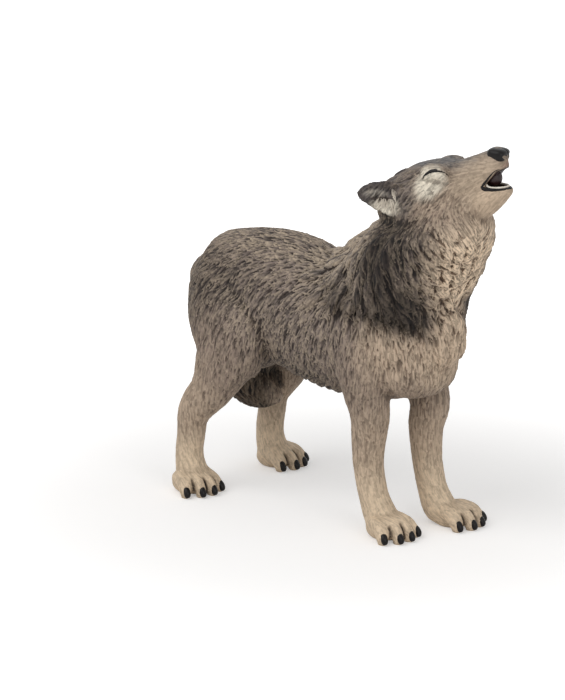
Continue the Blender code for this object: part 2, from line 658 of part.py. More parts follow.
def mend(obj):
    """Merges points that thinning left together and closes any pinhole it left in the skin."""
    shape = bmesh.new()
    shape.from_mesh(obj.data)
    bmesh.ops.remove_doubles(shape, verts=shape.verts, dist=MERGE * MM)
    bmesh.ops.dissolve_degenerate(shape, edges=shape.edges, dist=MERGE * MM)
    for _ in range(4):
        bad = [edge for edge in shape.edges if len(edge.link_faces) > 2]
        if bad:
            faces = {face for edge in bad for face in edge.link_faces}
            bmesh.ops.delete(shape, geom=list(faces), context="FACES")
        loose = [edge for edge in shape.edges if not edge.link_faces]
        bmesh.ops.delete(shape, geom=loose, context="EDGES")
        rim = [edge for edge in shape.edges if len(edge.link_faces) == 1]
        if not rim:
            break
        bmesh.ops.holes_fill(shape, edges=rim, sides=0)
    bmesh.ops.triangulate(shape, faces=[face for face in shape.faces if len(face.verts) > 3])
    bmesh.ops.recalc_face_normals(shape, faces=shape.faces)
    shape.to_mesh(obj.data)
    shape.free()


def settle(obj):
    """Puts the points of the four soles exactly on the floor."""
    points = vertex_array(obj)
    points[points[:, 2] < SOLE_SNAP, 2] = 0.0
    set_vertices(obj, points)


def floor_block():
    """Block below z = 0 that cuts the four soles flat, wider than the wolf is tall."""
    reach = 1.4 * BACK_HEIGHT
    corners = [(x, y, z) for z in (-2.0 * PAW_HEIGHT, 0.0) for y in (-reach, reach)
               for x in (-reach, reach)]
    faces = [(0, 2, 3, 1), (4, 5, 7, 6), (0, 1, 5, 4), (2, 6, 7, 3), (0, 4, 6, 2), (1, 3, 7, 5)]
    return np.array(corners, float), faces


def centre_on_base(obj):
    """Puts the origin under the middle of the figurine's box."""
    points = vertex_array(obj)
    middle = (points.min(0) + points.max(0)) / 2
    points[:, :2] -= middle[:2]
    set_vertices(obj, points)
    print("middle of the box in the modelling frame, mm:", middle[:2].round(3))


def coat_paint():
    material = bpy.data.materials.new("painted_pvc_coat")
    material.use_nodes = True
    shader = material.node_tree.nodes["Principled BSDF"]
    shader.inputs["Base Color"].default_value = COAT_COLOUR
    shader.inputs["Roughness"].default_value = COAT_ROUGHNESS
    shader.inputs["Metallic"].default_value = 0.0
    return material


def skin_tree(obj):
    bpy.context.view_layer.update()
    return BVHTree.FromObject(obj, bpy.context.evaluated_depsgraph_get())


def build():
    for obj in list(bpy.data.objects):
        bpy.data.objects.remove(obj, do_unlink=True)
    collection = bpy.data.collections.new("wolf_figurine_parts")
    cutters = bpy.data.collections.new("cutters")
    bpy.context.scene.collection.children.link(collection)
    bpy.context.scene.collection.children.link(cutters)

    pieces = trunk() + neck() + head() + tail()
    crisp = ear(-1) + ear(1) + face()
    for sign, hind_step, front_step in ((-1, 0.0, 0.0), (1, HIND_STEP, FRONT_STEP)):
        pieces += hind_leg(sign, hind_step) + front_leg(sign, front_step)
        crisp += toes(*hind_foot(sign, hind_step)) + toes(*front_foot(sign, front_step))
    block = mesh_object("block", pieces, collection)
    remesh(block, BLOCK_VOXEL)
    relax(block, 3)
    tree = skin_tree(block)

    carved = mesh_object("wolf_figurine", crisp + ruff(tree) + chest(tree) + fringe(tree),
                         collection)
    block_points = vertex_array(block)
    block_faces = [list(polygon.vertices) for polygon in block.data.polygons]
    lock_points = vertex_array(carved)
    lock_faces = [list(polygon.vertices) for polygon in carved.data.polygons]
    bpy.data.objects.remove(block)
    bpy.data.objects.remove(carved)
    wolf = mesh_object("wolf_figurine", [(block_points, block_faces), (lock_points, lock_faces)],
                       collection)
    remesh(wolf, SKIN_VOXEL)
    relax(wolf, 1)
    for cutter in mouth_cutter(cutters):
        cut(wolf, cutter)
    cut(wolf, mesh_object("floor_cut", [floor_block()], cutters))
    thin(wolf, FACETS)
    mend(wolf)
    settle(wolf)
    for cutter in cutters.objects:
        cutter.hide_render = True
        cutter.display_type = "WIRE"
    centre_on_base(wolf)
    wolf.data.materials.clear()
    wolf.data.materials.append(coat_paint())
    wolf.data.shade_smooth()


build()
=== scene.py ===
import math

import bmesh
import bpy
import numpy as np
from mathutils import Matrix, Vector
from mathutils.bvhtree import BVHTree


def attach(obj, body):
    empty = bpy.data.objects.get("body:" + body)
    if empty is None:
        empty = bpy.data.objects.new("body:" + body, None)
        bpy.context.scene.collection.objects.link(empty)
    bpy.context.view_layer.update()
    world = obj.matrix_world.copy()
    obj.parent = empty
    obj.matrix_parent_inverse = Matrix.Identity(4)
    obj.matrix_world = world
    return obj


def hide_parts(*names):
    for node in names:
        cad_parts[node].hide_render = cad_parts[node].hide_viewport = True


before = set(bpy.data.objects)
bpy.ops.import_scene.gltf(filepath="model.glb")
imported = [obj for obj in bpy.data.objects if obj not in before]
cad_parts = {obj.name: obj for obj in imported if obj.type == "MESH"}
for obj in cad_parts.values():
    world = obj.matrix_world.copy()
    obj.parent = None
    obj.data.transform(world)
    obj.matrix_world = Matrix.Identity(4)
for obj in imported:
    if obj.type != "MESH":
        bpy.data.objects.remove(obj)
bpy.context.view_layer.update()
print("frame loaded")

# the sculptor's own zero: all measures below are taken from it, in mm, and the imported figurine
# stands this far from it
zeroShift = np.array([4.049, -0.010, 0.0])


# small helpers for colour, nodes and meshes

def linear(hexColour, alpha=1.0):
    # sRGB hex to linear light: c / 12.92 below 0.04045, else ((c + 0.055) / 1.055) to the 2.4
    value = hexColour.lstrip("#")
    parts = [int(value[i:i + 2], 16) / 255 for i in (0, 2, 4)]
    return tuple(c / 12.92 if c <= 0.04045 else ((c + 0.055) / 1.055) ** 2.4 for c in parts) + (alpha,)


def addNode(tree, kind, settings=None, **links):
    # makes a node, sets its fields and fills its sockets with values or with other sockets
    node = tree.nodes.new(kind)
    for name, value in (settings or {}).items():
        setattr(node, name, value)
    for name, value in links.items():
        key = name.replace("_", " ")
        socket = node.inputs[int(key[1:])] if key[0] == "i" and key[1:].isdigit() else node.inputs[key]
        if isinstance(value, bpy.types.NodeSocket):
            tree.links.new(value, socket)
        else:
            socket.default_value = value
    return node


# settings that many nodes share
multiply = {"operation": "MULTIPLY"}
multiplyAdd = {"operation": "MULTIPLY_ADD"}
larger = {"operation": "MAXIMUM"}
smooth = {"interpolation_type": "SMOOTHSTEP"}
solidNoise = {"noise_dimensions": "3D"}


def newMaterial(name):
    # a material with one Principled shader on its output: the material, its tree and the shader
    material = bpy.data.materials.new(name)
    material.use_nodes = True
    tree = material.node_tree
    tree.nodes.clear()
    shader = tree.nodes.new("ShaderNodeBsdfPrincipled")
    out = tree.nodes.new("ShaderNodeOutputMaterial")
    tree.links.new(shader.outputs[0], out.inputs[0])
    return material, tree, shader


def linked(name, data):
    # a new object for the data, put in the scene
    obj = bpy.data.objects.new(name, data)
    bpy.context.scene.collection.objects.link(obj)
    return obj


def newPiece(name, points, faces, material):
    # a mesh from points in the sculptor's frame: metres = (mm - zeroShift) / 1000
    mesh = bpy.data.meshes.new(name)
    mesh.from_pydata(((np.asarray(points, float) - zeroShift) / 1000).tolist(), [], faces)
    mesh.materials.append(material)
    obj = linked(name, mesh)
    mesh.shade_smooth()
    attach(obj, "root")
    return obj


def readField(items, field, width, kind=np.float32):
    # one field of every item, a row each
    flat = np.empty(len(items) * width, kind)
    items.foreach_get(field, flat)
    return flat.reshape(-1, width)


def readPoints(obj):
    # the mesh's points in the sculptor's frame: mm = 1000 metres + zeroShift
    return readField(obj.data.vertices, "co", 3).astype(float) * 1000 + zeroShift


def writePoints(obj, points):
    # the other way round: metres = (mm - zeroShift) / 1000
    obj.data.vertices.foreach_set("co", ((points - zeroShift) / 1000).astype(np.float32).ravel())
    obj.data.update()


def readNormals(obj):
    # one unit normal for each point
    return readField(obj.data.vertex_normals, "vector", 3).astype(float)


def readEdges(obj):
    # the two ends of every edge, as two rows of point numbers
    return readField(obj.data.edges, "vertices", 2, np.int32).T


def bake(obj):
    # the modifiers' result becomes the mesh
    bpy.context.view_layer.update()
    mesh = bpy.data.meshes.new_from_object(obj.evaluated_get(bpy.context.evaluated_depsgraph_get()))
    obj.modifiers.clear()
    obj.data = mesh


def blurred(values, a, b, rounds, weight=None):
    # each round moves every point's value half way to the mean of its neighbours' values
    values = values.copy()
    n = len(values)
    w = np.ones(len(a)) if weight is None else weight
    total = np.bincount(a, w, n) + np.bincount(b, w, n) + 1e-9
    flat = values if values.ndim == 2 else values[:, None]
    for _ in range(rounds):
        for k in range(flat.shape[1]):
            near = np.bincount(a, w * flat[b, k], n) + np.bincount(b, w * flat[a, k], n)
            flat[:, k] += 0.5 * (near / total - flat[:, k])
    return flat if values.ndim == 2 else flat[:, 0]


def softStep(low, high, x):
    # 0 below low, 1 above high, and t t (3 - 2 t) between them
    t = np.clip((x - low) / (high - low), 0, 1)
    return t * t * (3 - 2 * t)


def unit(v):
    # v / |v|
    return v / (np.linalg.norm(v, axis=-1, keepdims=True) + 1e-9)


def ringFaces(rings, segments):
    # faces round a stack of rings, whose first and last point close its two ends
    ring = np.arange(segments)
    after = (ring + 1) % segments
    starts = 1 + segments * np.arange(rings - 1)[:, None]
    nextRing = starts + segments
    quads = np.stack([starts + ring, starts + after, nextRing + after, nextRing + ring], -1)
    last = 1 + segments * (rings - 1)
    faces = quads.reshape(-1, 4).tolist()
    faces += np.stack([0 * ring, 1 + after, 1 + ring], 1).tolist()
    faces += np.stack([0 * ring + last + segments, last + ring, last + after], 1).tolist()
    return faces


def tubeMesh(centres, sides, outs, halfSides, halfOuts, segments=10):
    # ring i is centre + halfSide cos a side + halfOut sin a out, closed by a point at each end
    angle = np.linspace(0, 2 * math.pi, segments, endpoint=False)
    rings = (centres[:, None] + (halfSides[:, None] * np.cos(angle))[..., None] * sides[:, None]
             + (halfOuts[:, None] * np.sin(angle))[..., None] * outs[:, None])
    points = np.concatenate([centres[:1], rings.reshape(-1, 3), centres[-1:]])
    return points, ringFaces(len(centres), segments)


def joined(parts):
    # several closed shells as one: each shell's faces count on from the points before it
    points, faces, base = [], [], 0
    for partPoints, partFaces in parts:
        points.append(partPoints)
        faces += [[i + base for i in face] for face in partFaces]
        base += len(partPoints)
    return np.concatenate(points), faces


# where things are: the head's own frame (u forward, v left, z up) and the four paws

headPlace = {"x": 38.0, "y": 1.0, "turn": 16.0}

# x, y and heading of each paw, as the casting has them
paws = [
    {"x": -32.2, "y": -16.0, "turn": -10.0},
    {"x": -32.6, "y": 16.0, "turn": 10.0},
    {"x": 29.6, "y": -9.6, "turn": -8.0},
    {"x": 34.6, "y": 9.6, "turn": 8.0},
]


def fromHead(points):
    # head frame to sculptor's frame: x = X + u cos a - v sin a, y = Y + u sin a + v cos a
    a = math.radians(headPlace["turn"])
    p = np.array(points, float)
    u, v = p[..., 0].copy(), p[..., 1].copy()
    p[..., 0] = headPlace["x"] + u * math.cos(a) - v * math.sin(a)
    p[..., 1] = headPlace["y"] + u * math.sin(a) + v * math.cos(a)
    return p


def toHead(points):
    # sculptor's frame to head frame: the same turn backwards
    a = math.radians(headPlace["turn"])
    p = np.array(points, float)
    x, y = p[..., 0] - headPlace["x"], p[..., 1] - headPlace["y"]
    p[..., 0] = x * math.cos(a) + y * math.sin(a)
    p[..., 1] = -x * math.sin(a) + y * math.cos(a)
    return p


def toPaw(points, paw):
    # how far ahead of a paw's middle each point lies, and how far to its left
    a = math.radians(paw["turn"])
    x, y = points[:, 0] - paw["x"], points[:, 1] - paw["y"]
    return x * math.cos(a) + y * math.sin(a), -x * math.sin(a) + y * math.cos(a)


# the coat: the casting's skin, cut finer and combed

coat = {
    "voxel": 0.28,        # mm, grain of the skin while it is carved
    "quickVoxel": 0.45,
    "facets": 197000,
    "calm": 8,            # rounds of smoothing before the carving
    "strokes": 38000,
    "combDepth": 0.05,    # mm
    "sole": 0.25,         # mm above the floor, below which nothing is smoothed
    "reach": 7.0,         # mm round a row of the combing table
    "stretch": (0.7, 1.35),
    "girth": (0.75, 1.3),
    "bend": 0.04,
    "wave": 0.35,         # of the half width, to and fro along a stroke
    "swing": 0.16,        # radians off the coat's way
    "seed": 11,
}

# where the coat lies and how it is cut: place on the right half, way it lies, then the stroke's
# length, width and depth in mm
combing = [
    ((-30, -3, 68), (-1.0, 0.0, -0.1), 4.0, 0.68, 0.29),
    ((-12, -3, 69), (-1.0, 0.0, 0.0), 4.0, 0.68, 0.29),
    ((4, -4, 68), (-1.0, 0.1, 0.0), 4.8, 0.80, 0.34),
    ((-42, -5, 58), (-0.5, 0.0, -0.9), 3.6, 0.64, 0.22),
    ((-5, -13, 58), (-0.8, 0.0, -0.6), 4.4, 0.72, 0.35),
    ((-18, -13, 58), (-0.8, 0.0, -0.6), 4.4, 0.72, 0.35),
    ((0, -14, 48), (-0.5, 0.0, -0.9), 4.8, 0.76, 0.35),
    ((-10, -13, 44), (-0.5, 0.0, -0.9), 4.8, 0.76, 0.35),
    ((0, -12, 36), (-0.3, 0.2, -1.0), 5.2, 1.02, 0.45),
    ((0, -2, 31), (-0.9, 0.0, 0.0), 5.0, 1.02, 0.27),
    ((-30, -13, 58), (-0.7, 0.0, -0.7), 4.2, 0.68, 0.30),
    ((-20, -13, 48), (-0.1, 0.0, -1.0), 4.2, 0.68, 0.27),
    ((-36, -12, 46), (-0.3, 0.0, -1.0), 3.8, 0.64, 0.21),
    ((-27, -15, 40), (-0.1, 0.0, -1.0), 3.8, 0.64, 0.18),
    ((-30, -16, 28), (-0.3, 0.0, -1.0), 3.2, 0.75, 0.15),
    ((-34, -15, 16), (0.0, 0.0, -1.0), 2.8, 0.65, 0.09),
    ((-31, -15, 6), (0.5, 0.0, -1.0), 2.4, 0.6, 0.06),
    ((-25, -15, 3), (1.0, 0.0, -0.3), 2.0, 0.6, 0.04),
    ((22, -13, 48), (-0.2, 0.0, -1.0), 3.6, 0.75, 0.2),
    ((22, -9, 34), (-0.1, 0.0, -1.0), 3.4, 0.8, 0.18),
    ((22, -8, 20), (0.0, 0.0, -1.0), 3.0, 0.7, 0.11),
    ((25, -8, 7), (0.3, 0.0, -1.0), 2.6, 0.6, 0.07),
    ((33, -8, 3), (1.0, 0.0, -0.3), 2.0, 0.6, 0.04),
    ((27, -11, 81), (-0.4, 0.0, -0.95), 7.2, 0.94, 0.53),
    ((17, -6, 74), (-0.85, 0.0, -0.5), 6.8, 0.98, 0.53),
    ((14, -12, 66), (-0.6, 0.0, -0.8), 7.2, 1.01, 0.61),
    ((26, -16, 70), (-0.15, 0.0, -1.0), 7.7, 1.01, 0.66),
    ((28, -16, 61), (0.1, 0.0, -1.0), 7.7, 1.01, 0.66),
    ((38, -13, 70), (0.35, 0.1, -0.9), 6.8, 0.98, 0.59),
    ((36, -13, 62), (0.45, 0.2, -0.9), 6.8, 0.98, 0.64),
    ((38, -10, 54), (0.3, 0.2, -1.0), 4.5, 1.0, 0.35),
    ((46, -4, 70), (0.75, 0.6, -0.3), 4.0, 1.0, 0.55),
    ((42, -3, 52), (-0.2, 0.0, -1.0), 4.5, 1.0, 0.4),
    ((42, -8, 76), (0.55, 0.5, -0.6), 3.6, 0.8, 0.4),
    ((45, -6, 62), (0.7, 0.5, -0.5), 4.0, 0.95, 0.5),
    ((46, -3, 80), (0.3, 0.3, -0.9), 3.4, 0.75, 0.25),
    ((37, -9, 84), (-0.5, 0.0, -0.8), 3.0, 0.62, 0.24),
    ((31, -9, 88), (-0.6, -0.1, -0.9), 3.0, 0.65, 0.20),
    ((38, -3, 94), (-1.0, 0.0, 0.1), 2.4, 0.5, 0.12),
    ((26, -5, 90), (-1.0, 0.0, -0.3), 3.0, 0.7, 0.2),
    ((36, -9, 90), (-0.4, 0.0, -0.9), 2.2, 0.5, 0.16),
    ((46, -4, 92), (-1.0, 0.0, -0.3), 2.0, 0.45, 0.08),
    ((51, -2, 95), (-1.0, 0.0, -0.2), 1.6, 0.4, 0.03),
    ((22, -14, 86), (-1.0, 0.0, -0.2), 2.5, 0.5, 0.08),
    ((-41, -2, 48), (0.0, 0.0, -1.0), 4.5, 1.02, 0.41),
    ((-38, -3, 35), (0.2, 0.3, -1.0), 4.5, 1.02, 0.45),
    ((-31, 5, 24), (0.6, 0.3, -0.8), 4.5, 1.02, 0.50),
]


def coatWays(points, normals):
    # at each point the rows of the table above, weighed by exp(-distance squared / 2 reach squared)
    # and mirrored in y, laid into the surface
    places = np.array([row[0] for row in combing], float)
    ways = np.array([row[1] for row in combing], float)
    sizes = np.array([row[2:] for row in combing], float)
    sign = np.where(points[:, 1] > 0, 1.0, -1.0)
    here = np.stack([points[:, 0], -np.abs(points[:, 1]), points[:, 2]], 1)
    far = ((here[:, None, :] - places[None]) ** 2).sum(2)
    weight = np.exp(-(far - far.min(1, keepdims=True)) / (2 * coat["reach"] ** 2))
    weight /= weight.sum(1, keepdims=True)
    way = weight @ unit(ways)
    way[:, 1] *= -sign
    way -= normals * (way * normals).sum(1, keepdims=True)
    return unit(way), weight @ sizes


def hashCells(points, size):
    # points sorted by the cube they lie in, with the start of each cube's run
    cell = np.floor((points - points.min(0)) / size).astype(np.int64)
    span = cell.max(0) + 3
    key = (cell[:, 0] * span[1] + cell[:, 1]) * span[2] + cell[:, 2]
    order = np.argsort(key, kind="stable")
    return {"low": points.min(0), "size": size, "span": span, "order": order, "keys": key[order]}


def nearPoints(cells, place, reach):
    # the numbers of all points in the cubes that a box of half side reach round the place touches
    low = np.floor((place - reach - cells["low"]) / cells["size"]).astype(int).clip(0)
    high = np.floor((place + reach - cells["low"]) / cells["size"]).astype(int)
    high = np.minimum(high, cells["span"] - 1)
    runs = []
    for i in range(low[0], high[0] + 1):
        for j in range(low[1], high[1] + 1):
            base = (i * cells["span"][1] + j) * cells["span"][2]
            a, b = np.searchsorted(cells["keys"], (base + low[2], base + high[2] + 1))
            if b > a:
                runs.append(cells["order"][a:b])
    return np.concatenate(runs) if runs else np.empty(0, int)


def carveStrokes(points, normals, ways, sizes, rng):
    # a stroke is a wavy ridge with a pointed tip: across it the height falls as 1 - (t / w) squared,
    # along it the height climbs from root to tip and then ends, like shingles; the highest wins
    height = np.zeros(len(points))
    shade = np.zeros(len(points))
    crest = np.zeros(len(points))
    area = 1.0 / (sizes[:, 0] * sizes[:, 1])
    picks = rng.choice(len(points), size=coat["strokes"], replace=True, p=area / area.sum())
    cells = hashCells(points, 2.0)
    stretch = rng.uniform(*coat["stretch"], len(picks))
    girth = rng.uniform(*coat["girth"], len(picks))
    bend = rng.normal(0, coat["bend"], len(picks))
    swing = rng.normal(0, coat["swing"], len(picks))
    phase = rng.uniform(0, 6.28, len(picks))
    tone = rng.normal(0, 1, len(picks))
    for i, pick in enumerate(picks):
        length, width, depth = sizes[pick]
        length *= stretch[i]
        half = 0.5 * width * girth[i]
        near = nearPoints(cells, points[pick], 0.5 * length + 0.3)
        gap = points[near] - points[pick]
        n = normals[pick]
        d = unit(ways[pick] + np.cross(n, ways[pick]) * swing[i])
        side = np.cross(n, d)
        s = gap @ d
        t = gap @ side - bend[i] * s * s - coat["wave"] * half * np.sin(6.0 * s / length + phase[i])
        u = s / length + 0.5
        shape = np.clip(np.sin(math.pi * np.clip(0.12 + 0.88 * u, 0, 1)), 0, 1) ** 0.75
        across = 1 - (t / (half * shape + 1e-6)) ** 2
        good = (u > 0) & (u < 1) & (across > 0) & (normals[near] @ n > 0.3) & (np.abs(gap @ n) < 2.0)
        if not good.any():
            continue
        slope = across * (0.30 + 0.70 * u)
        rise = depth * girth[i] * slope * (0.85 + 0.15 * np.tanh(tone[i]))
        put = near[good]
        now = rise[good]
        wins = now > height[put]
        height[put[wins]] = now[wins]
        shade[put[wins]] = tone[i]
        crest[put[wins]] = slope[good][wins]
    return height, shade, crest


def combNoise(points, a, b, ways, rng, rounds=14, keen=8):
    # white noise smoothed along the coat only: an edge counts by |cosine to the hair| to a power
    along = unit(points[b] - points[a])
    mean = unit(ways[a] + ways[b])
    weight = np.abs((along * mean).sum(1)) ** keen + 0.01
    hair = blurred(rng.normal(0, 1, len(points)), a, b, rounds, weight)
    hair -= hair.mean()
    return hair / hair.std()


def setAttribute(obj, name, values):
    # one number or one vector for each point
    kind, field = ("FLOAT", "value") if values.ndim == 1 else ("FLOAT_VECTOR", "vector")
    attribute = obj.data.attributes.new(name, kind, "POINT")
    attribute.data.foreach_set(field, values.astype(np.float32).ravel())


def readAttribute(obj, name):
    # the numbers that setAttribute stored
    return readField(obj.data.attributes[name].data, "value", 1)[:, 0].astype(float)


def coatSkin():
    # the casting's mesh, merged and cut to an even grain, with its points drawn to their neighbours
    obj = linked("wolf_coat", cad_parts["wolf_figurine"].data.copy())
    obj.data.materials.clear()
    shell = bmesh.new()
    shell.from_mesh(obj.data)
    bmesh.ops.remove_doubles(shell, verts=shell.verts, dist=1e-6)
    shell.to_mesh(obj.data)
    shell.free()
    grain = obj.modifiers.new("grain", "REMESH")
    grain.mode = "VOXEL"
    grain.voxel_size = coat["voxel"] / 1000
    bake(obj)
    a, b = readEdges(obj)
    points = readPoints(obj)
    offFloor = points[:, 2] > coat["sole"]
    calm = blurred(points, a, b, coat["calm"])
    points[offFloor] = calm[offFloor]
    writePoints(obj, points)
    return obj


# where the ruff ends over the shoulder: x and height of its hem, mm
hem = {
    "x": (4.0, 8.0, 11.0, 21.0, 30.0, 34.0, 37.0, 41.5, 48.0),
    "height": (72.0, 64.0, 57.5, 56.6, 56.5, 55.9, 53.7, 50.2, 47.0),
    "lift": 0.9,
    "reach": 6.0,
    "back": (2, 8),       # x where the step begins, where it ends, and the height above which it fades
    "front": (35, 42),
    "top": (74, 80),
}


def aboveHem(points, shade):
    # height above the hem, which every stroke pushes up or down a little, so that it is ragged
    line = np.interp(points[:, 0], hem["x"], hem["height"])
    return points[:, 2] - line + 1.5 * np.clip(shade, -1.5, 1.5)


def hemLift(points, shade):
    # a step at the hem that fades upwards as exp(-height / reach)
    above = aboveHem(points, shade)
    here = softStep(0, 0.6, above) * np.exp(-np.clip(above, 0, None) / hem["reach"])
    side = softStep(*hem["back"], points[:, 0]) * (1 - softStep(*hem["front"], points[:, 0]))
    return hem["lift"] * here * side * (1 - softStep(*hem["top"], points[:, 2]))


toes = {
    "spacing": 3.0,       # mm from toe to toe
    "fan": 0.157,         # mm further apart for each mm ahead
    "fanStart": 2.6,
    "grooveHalf": 0.42,
    "grooveDepth": 0.6,
    "grooveStart": {-1: 2.9, 0: 3.6, 1: 2.9},
    "grooveEnd": (8.5, 9.5),
    "grooveTop": (5.2, 6.4),
}


def toeGrooves(points):
    # 1 in the cuts between the toes: three lines that fan out from the top of each paw to its front
    depth = np.zeros(len(points))
    for paw in paws:
        ahead, side = toPaw(points, paw)
        for place, start in toes["grooveStart"].items():
            line = place * (toes["spacing"] + toes["fan"] * np.clip(ahead - toes["fanStart"], 0, None))
            along = softStep(start, start + 1.2, ahead) * (1 - softStep(*toes["grooveEnd"], ahead))
            across = np.exp(-((side - line) / toes["grooveHalf"]) ** 2)
            depth = np.maximum(depth, along * across * (1 - softStep(*toes["grooveTop"], points[:, 2])))
    return depth


def barePlaces(points):
    # 0 on claws, nose and lips, which carry no hair, 0.75 on the eyelids and 1 on the coat
    head = toHead(points)
    u, v, z = head.T
    bare = softStep(12.5, 14.0, u) * softStep(85, 87, z)
    lid = np.exp(-((u - 0.0) / 2.6) ** 4 - ((z - 91.2) / 2.0) ** 4) * softStep(4.0, 5.5, np.abs(v))
    bare = np.maximum(bare, 0.25 * lid * softStep(80, 85, z))
    for paw in paws:
        ahead, side = toPaw(points, paw)
        toe = softStep(3.5, 5.5, ahead) * (1 - softStep(7.0, 8.0, np.abs(side))) * (ahead < 11)
        bare = np.maximum(bare, toe * (1 - softStep(5.0, 7.0, z)))
    return 1 - bare


def roundPaws(points, a, b):
    # behind the claws the toes melt into one rounded block: far smoothing, faded out at the front
    mask = np.zeros(len(points))
    for paw in paws:
        ahead, side = toPaw(points, paw)
        near = (np.abs(side) < 9) * (np.abs(ahead) < 12)
        mask = np.maximum(mask, near * (1 - softStep(3.6, 5.6, ahead)) * softStep(-2, 1, ahead))
    mask *= softStep(1.5, 3.5, points[:, 2]) * (1 - softStep(8, 11, points[:, 2]))
    return points + mask[:, None] * (blurred(points, a, b, 60) - points)


def carveCoat(obj):
    # point += normal times (strokes - 0.45 of their depth + comb noise + hem - toe grooves)
    rng = np.random.default_rng(coat["seed"])
    a, b = readEdges(obj)
    writePoints(obj, roundPaws(readPoints(obj), a, b))
    points, normals = readPoints(obj), readNormals(obj)
    ways, sizes = coatWays(points, normals)
    cut = barePlaces(points)
    height, shade, crest = carveStrokes(points, normals, ways, sizes, rng)
    hair = combNoise(points, a, b, ways, rng)
    keepFlat = softStep(0.2, 1.2, points[:, 2])
    depth = sizes[:, 2]
    comb = coat["combDepth"] * hair * np.clip(depth / 0.4, 0.2, 1)
    lift = cut * (height - 0.45 * depth + comb) + hemLift(points, shade)
    points += normals * ((lift - toes["grooveDepth"] * toeGrooves(points)) * keepFlat)[:, None]
    writePoints(obj, points)
    setAttribute(obj, "hair", hair)
    setAttribute(obj, "way", ways)
    setAttribute(obj, "shade", shade)
    setAttribute(obj, "crest", crest * cut + 0.5 * (1 - cut))


# paint: zones brushed on one over the other, in the sculptor's frame or the head's

paint = {
    "base": "#70645d",
    "dorsal": "#645a54",
    "saddle": "#5a504b",
    "hip": "#463d38",
    "flank": "#6b6059",
    "beige": "#d4bfa4",
    "thigh": "#827266",
    "chest": "#c3ad96",
    "chin": "#c6b098",
    "shin": "#ae9a86",
    "belly": "#3d3631",
    "ruff": "#2b2320",
    # darker ruff paint, also used as painted shadow in a narrow band just under the ruff's hem
    "ruffDeepAndShadow": "#231c19",
    "mane": "#7f756d",
    "throat": "#dcc5ab",
    "cheek": "#968474",
    "muzzle": "#b3a08b",
    "crown": "#646364",
    "temple": "#5f5753",
    "cream": "#d6cdbc",
    "rim": "#454040",
    "earCup": "#a8a299",
    "tail": "#33281f",
    # painted shade: dark brown for the cuts between the toes and the slit in the ear's cup
    "grooveShade": "#3a2e27",
    "mouth": "#1d0506",
    "gum": "#8a655f",
}

# how much pale dry-brush each colour takes on its crests, and how much brown wash and painted shade in its
# cuts and hollows
brushing = {
    "base": (0.6, 0.9), "dorsal": (1.0, 1.0), "saddle": (0.5, 1.0), "hip": (0.48, 0.9),
    "flank": (0.6, 0.9), "belly": (0.32, 1.0), "thigh": (0.3, 0.65), "shin": (0.2, 0.45),
    "beige": (0.15, 0.25), "chest": (0.3, 0.6), "ruff": (0.42, 1.0), "ruffDeepAndShadow": (0.1, 1.0),
    "mane": (0.9, 1.0), "throat": (0.4, 1.0), "cheek": (0.4, 0.8), "muzzle": (0.2, 0.28),
    "crown": (0.25, 0.5), "temple": (0.35, 0.8), "cream": (0.1, 0.5), "rim": (0.12, 0.6),
    "earCup": (0.4, 0.6), "tail": (0.25, 1.0), "grooveShade": (0.0, 1.0), "mouth": (0.0, 0.3),
    "chin": (0.15, 0.15), "gum": (0.0, 0.3),
}

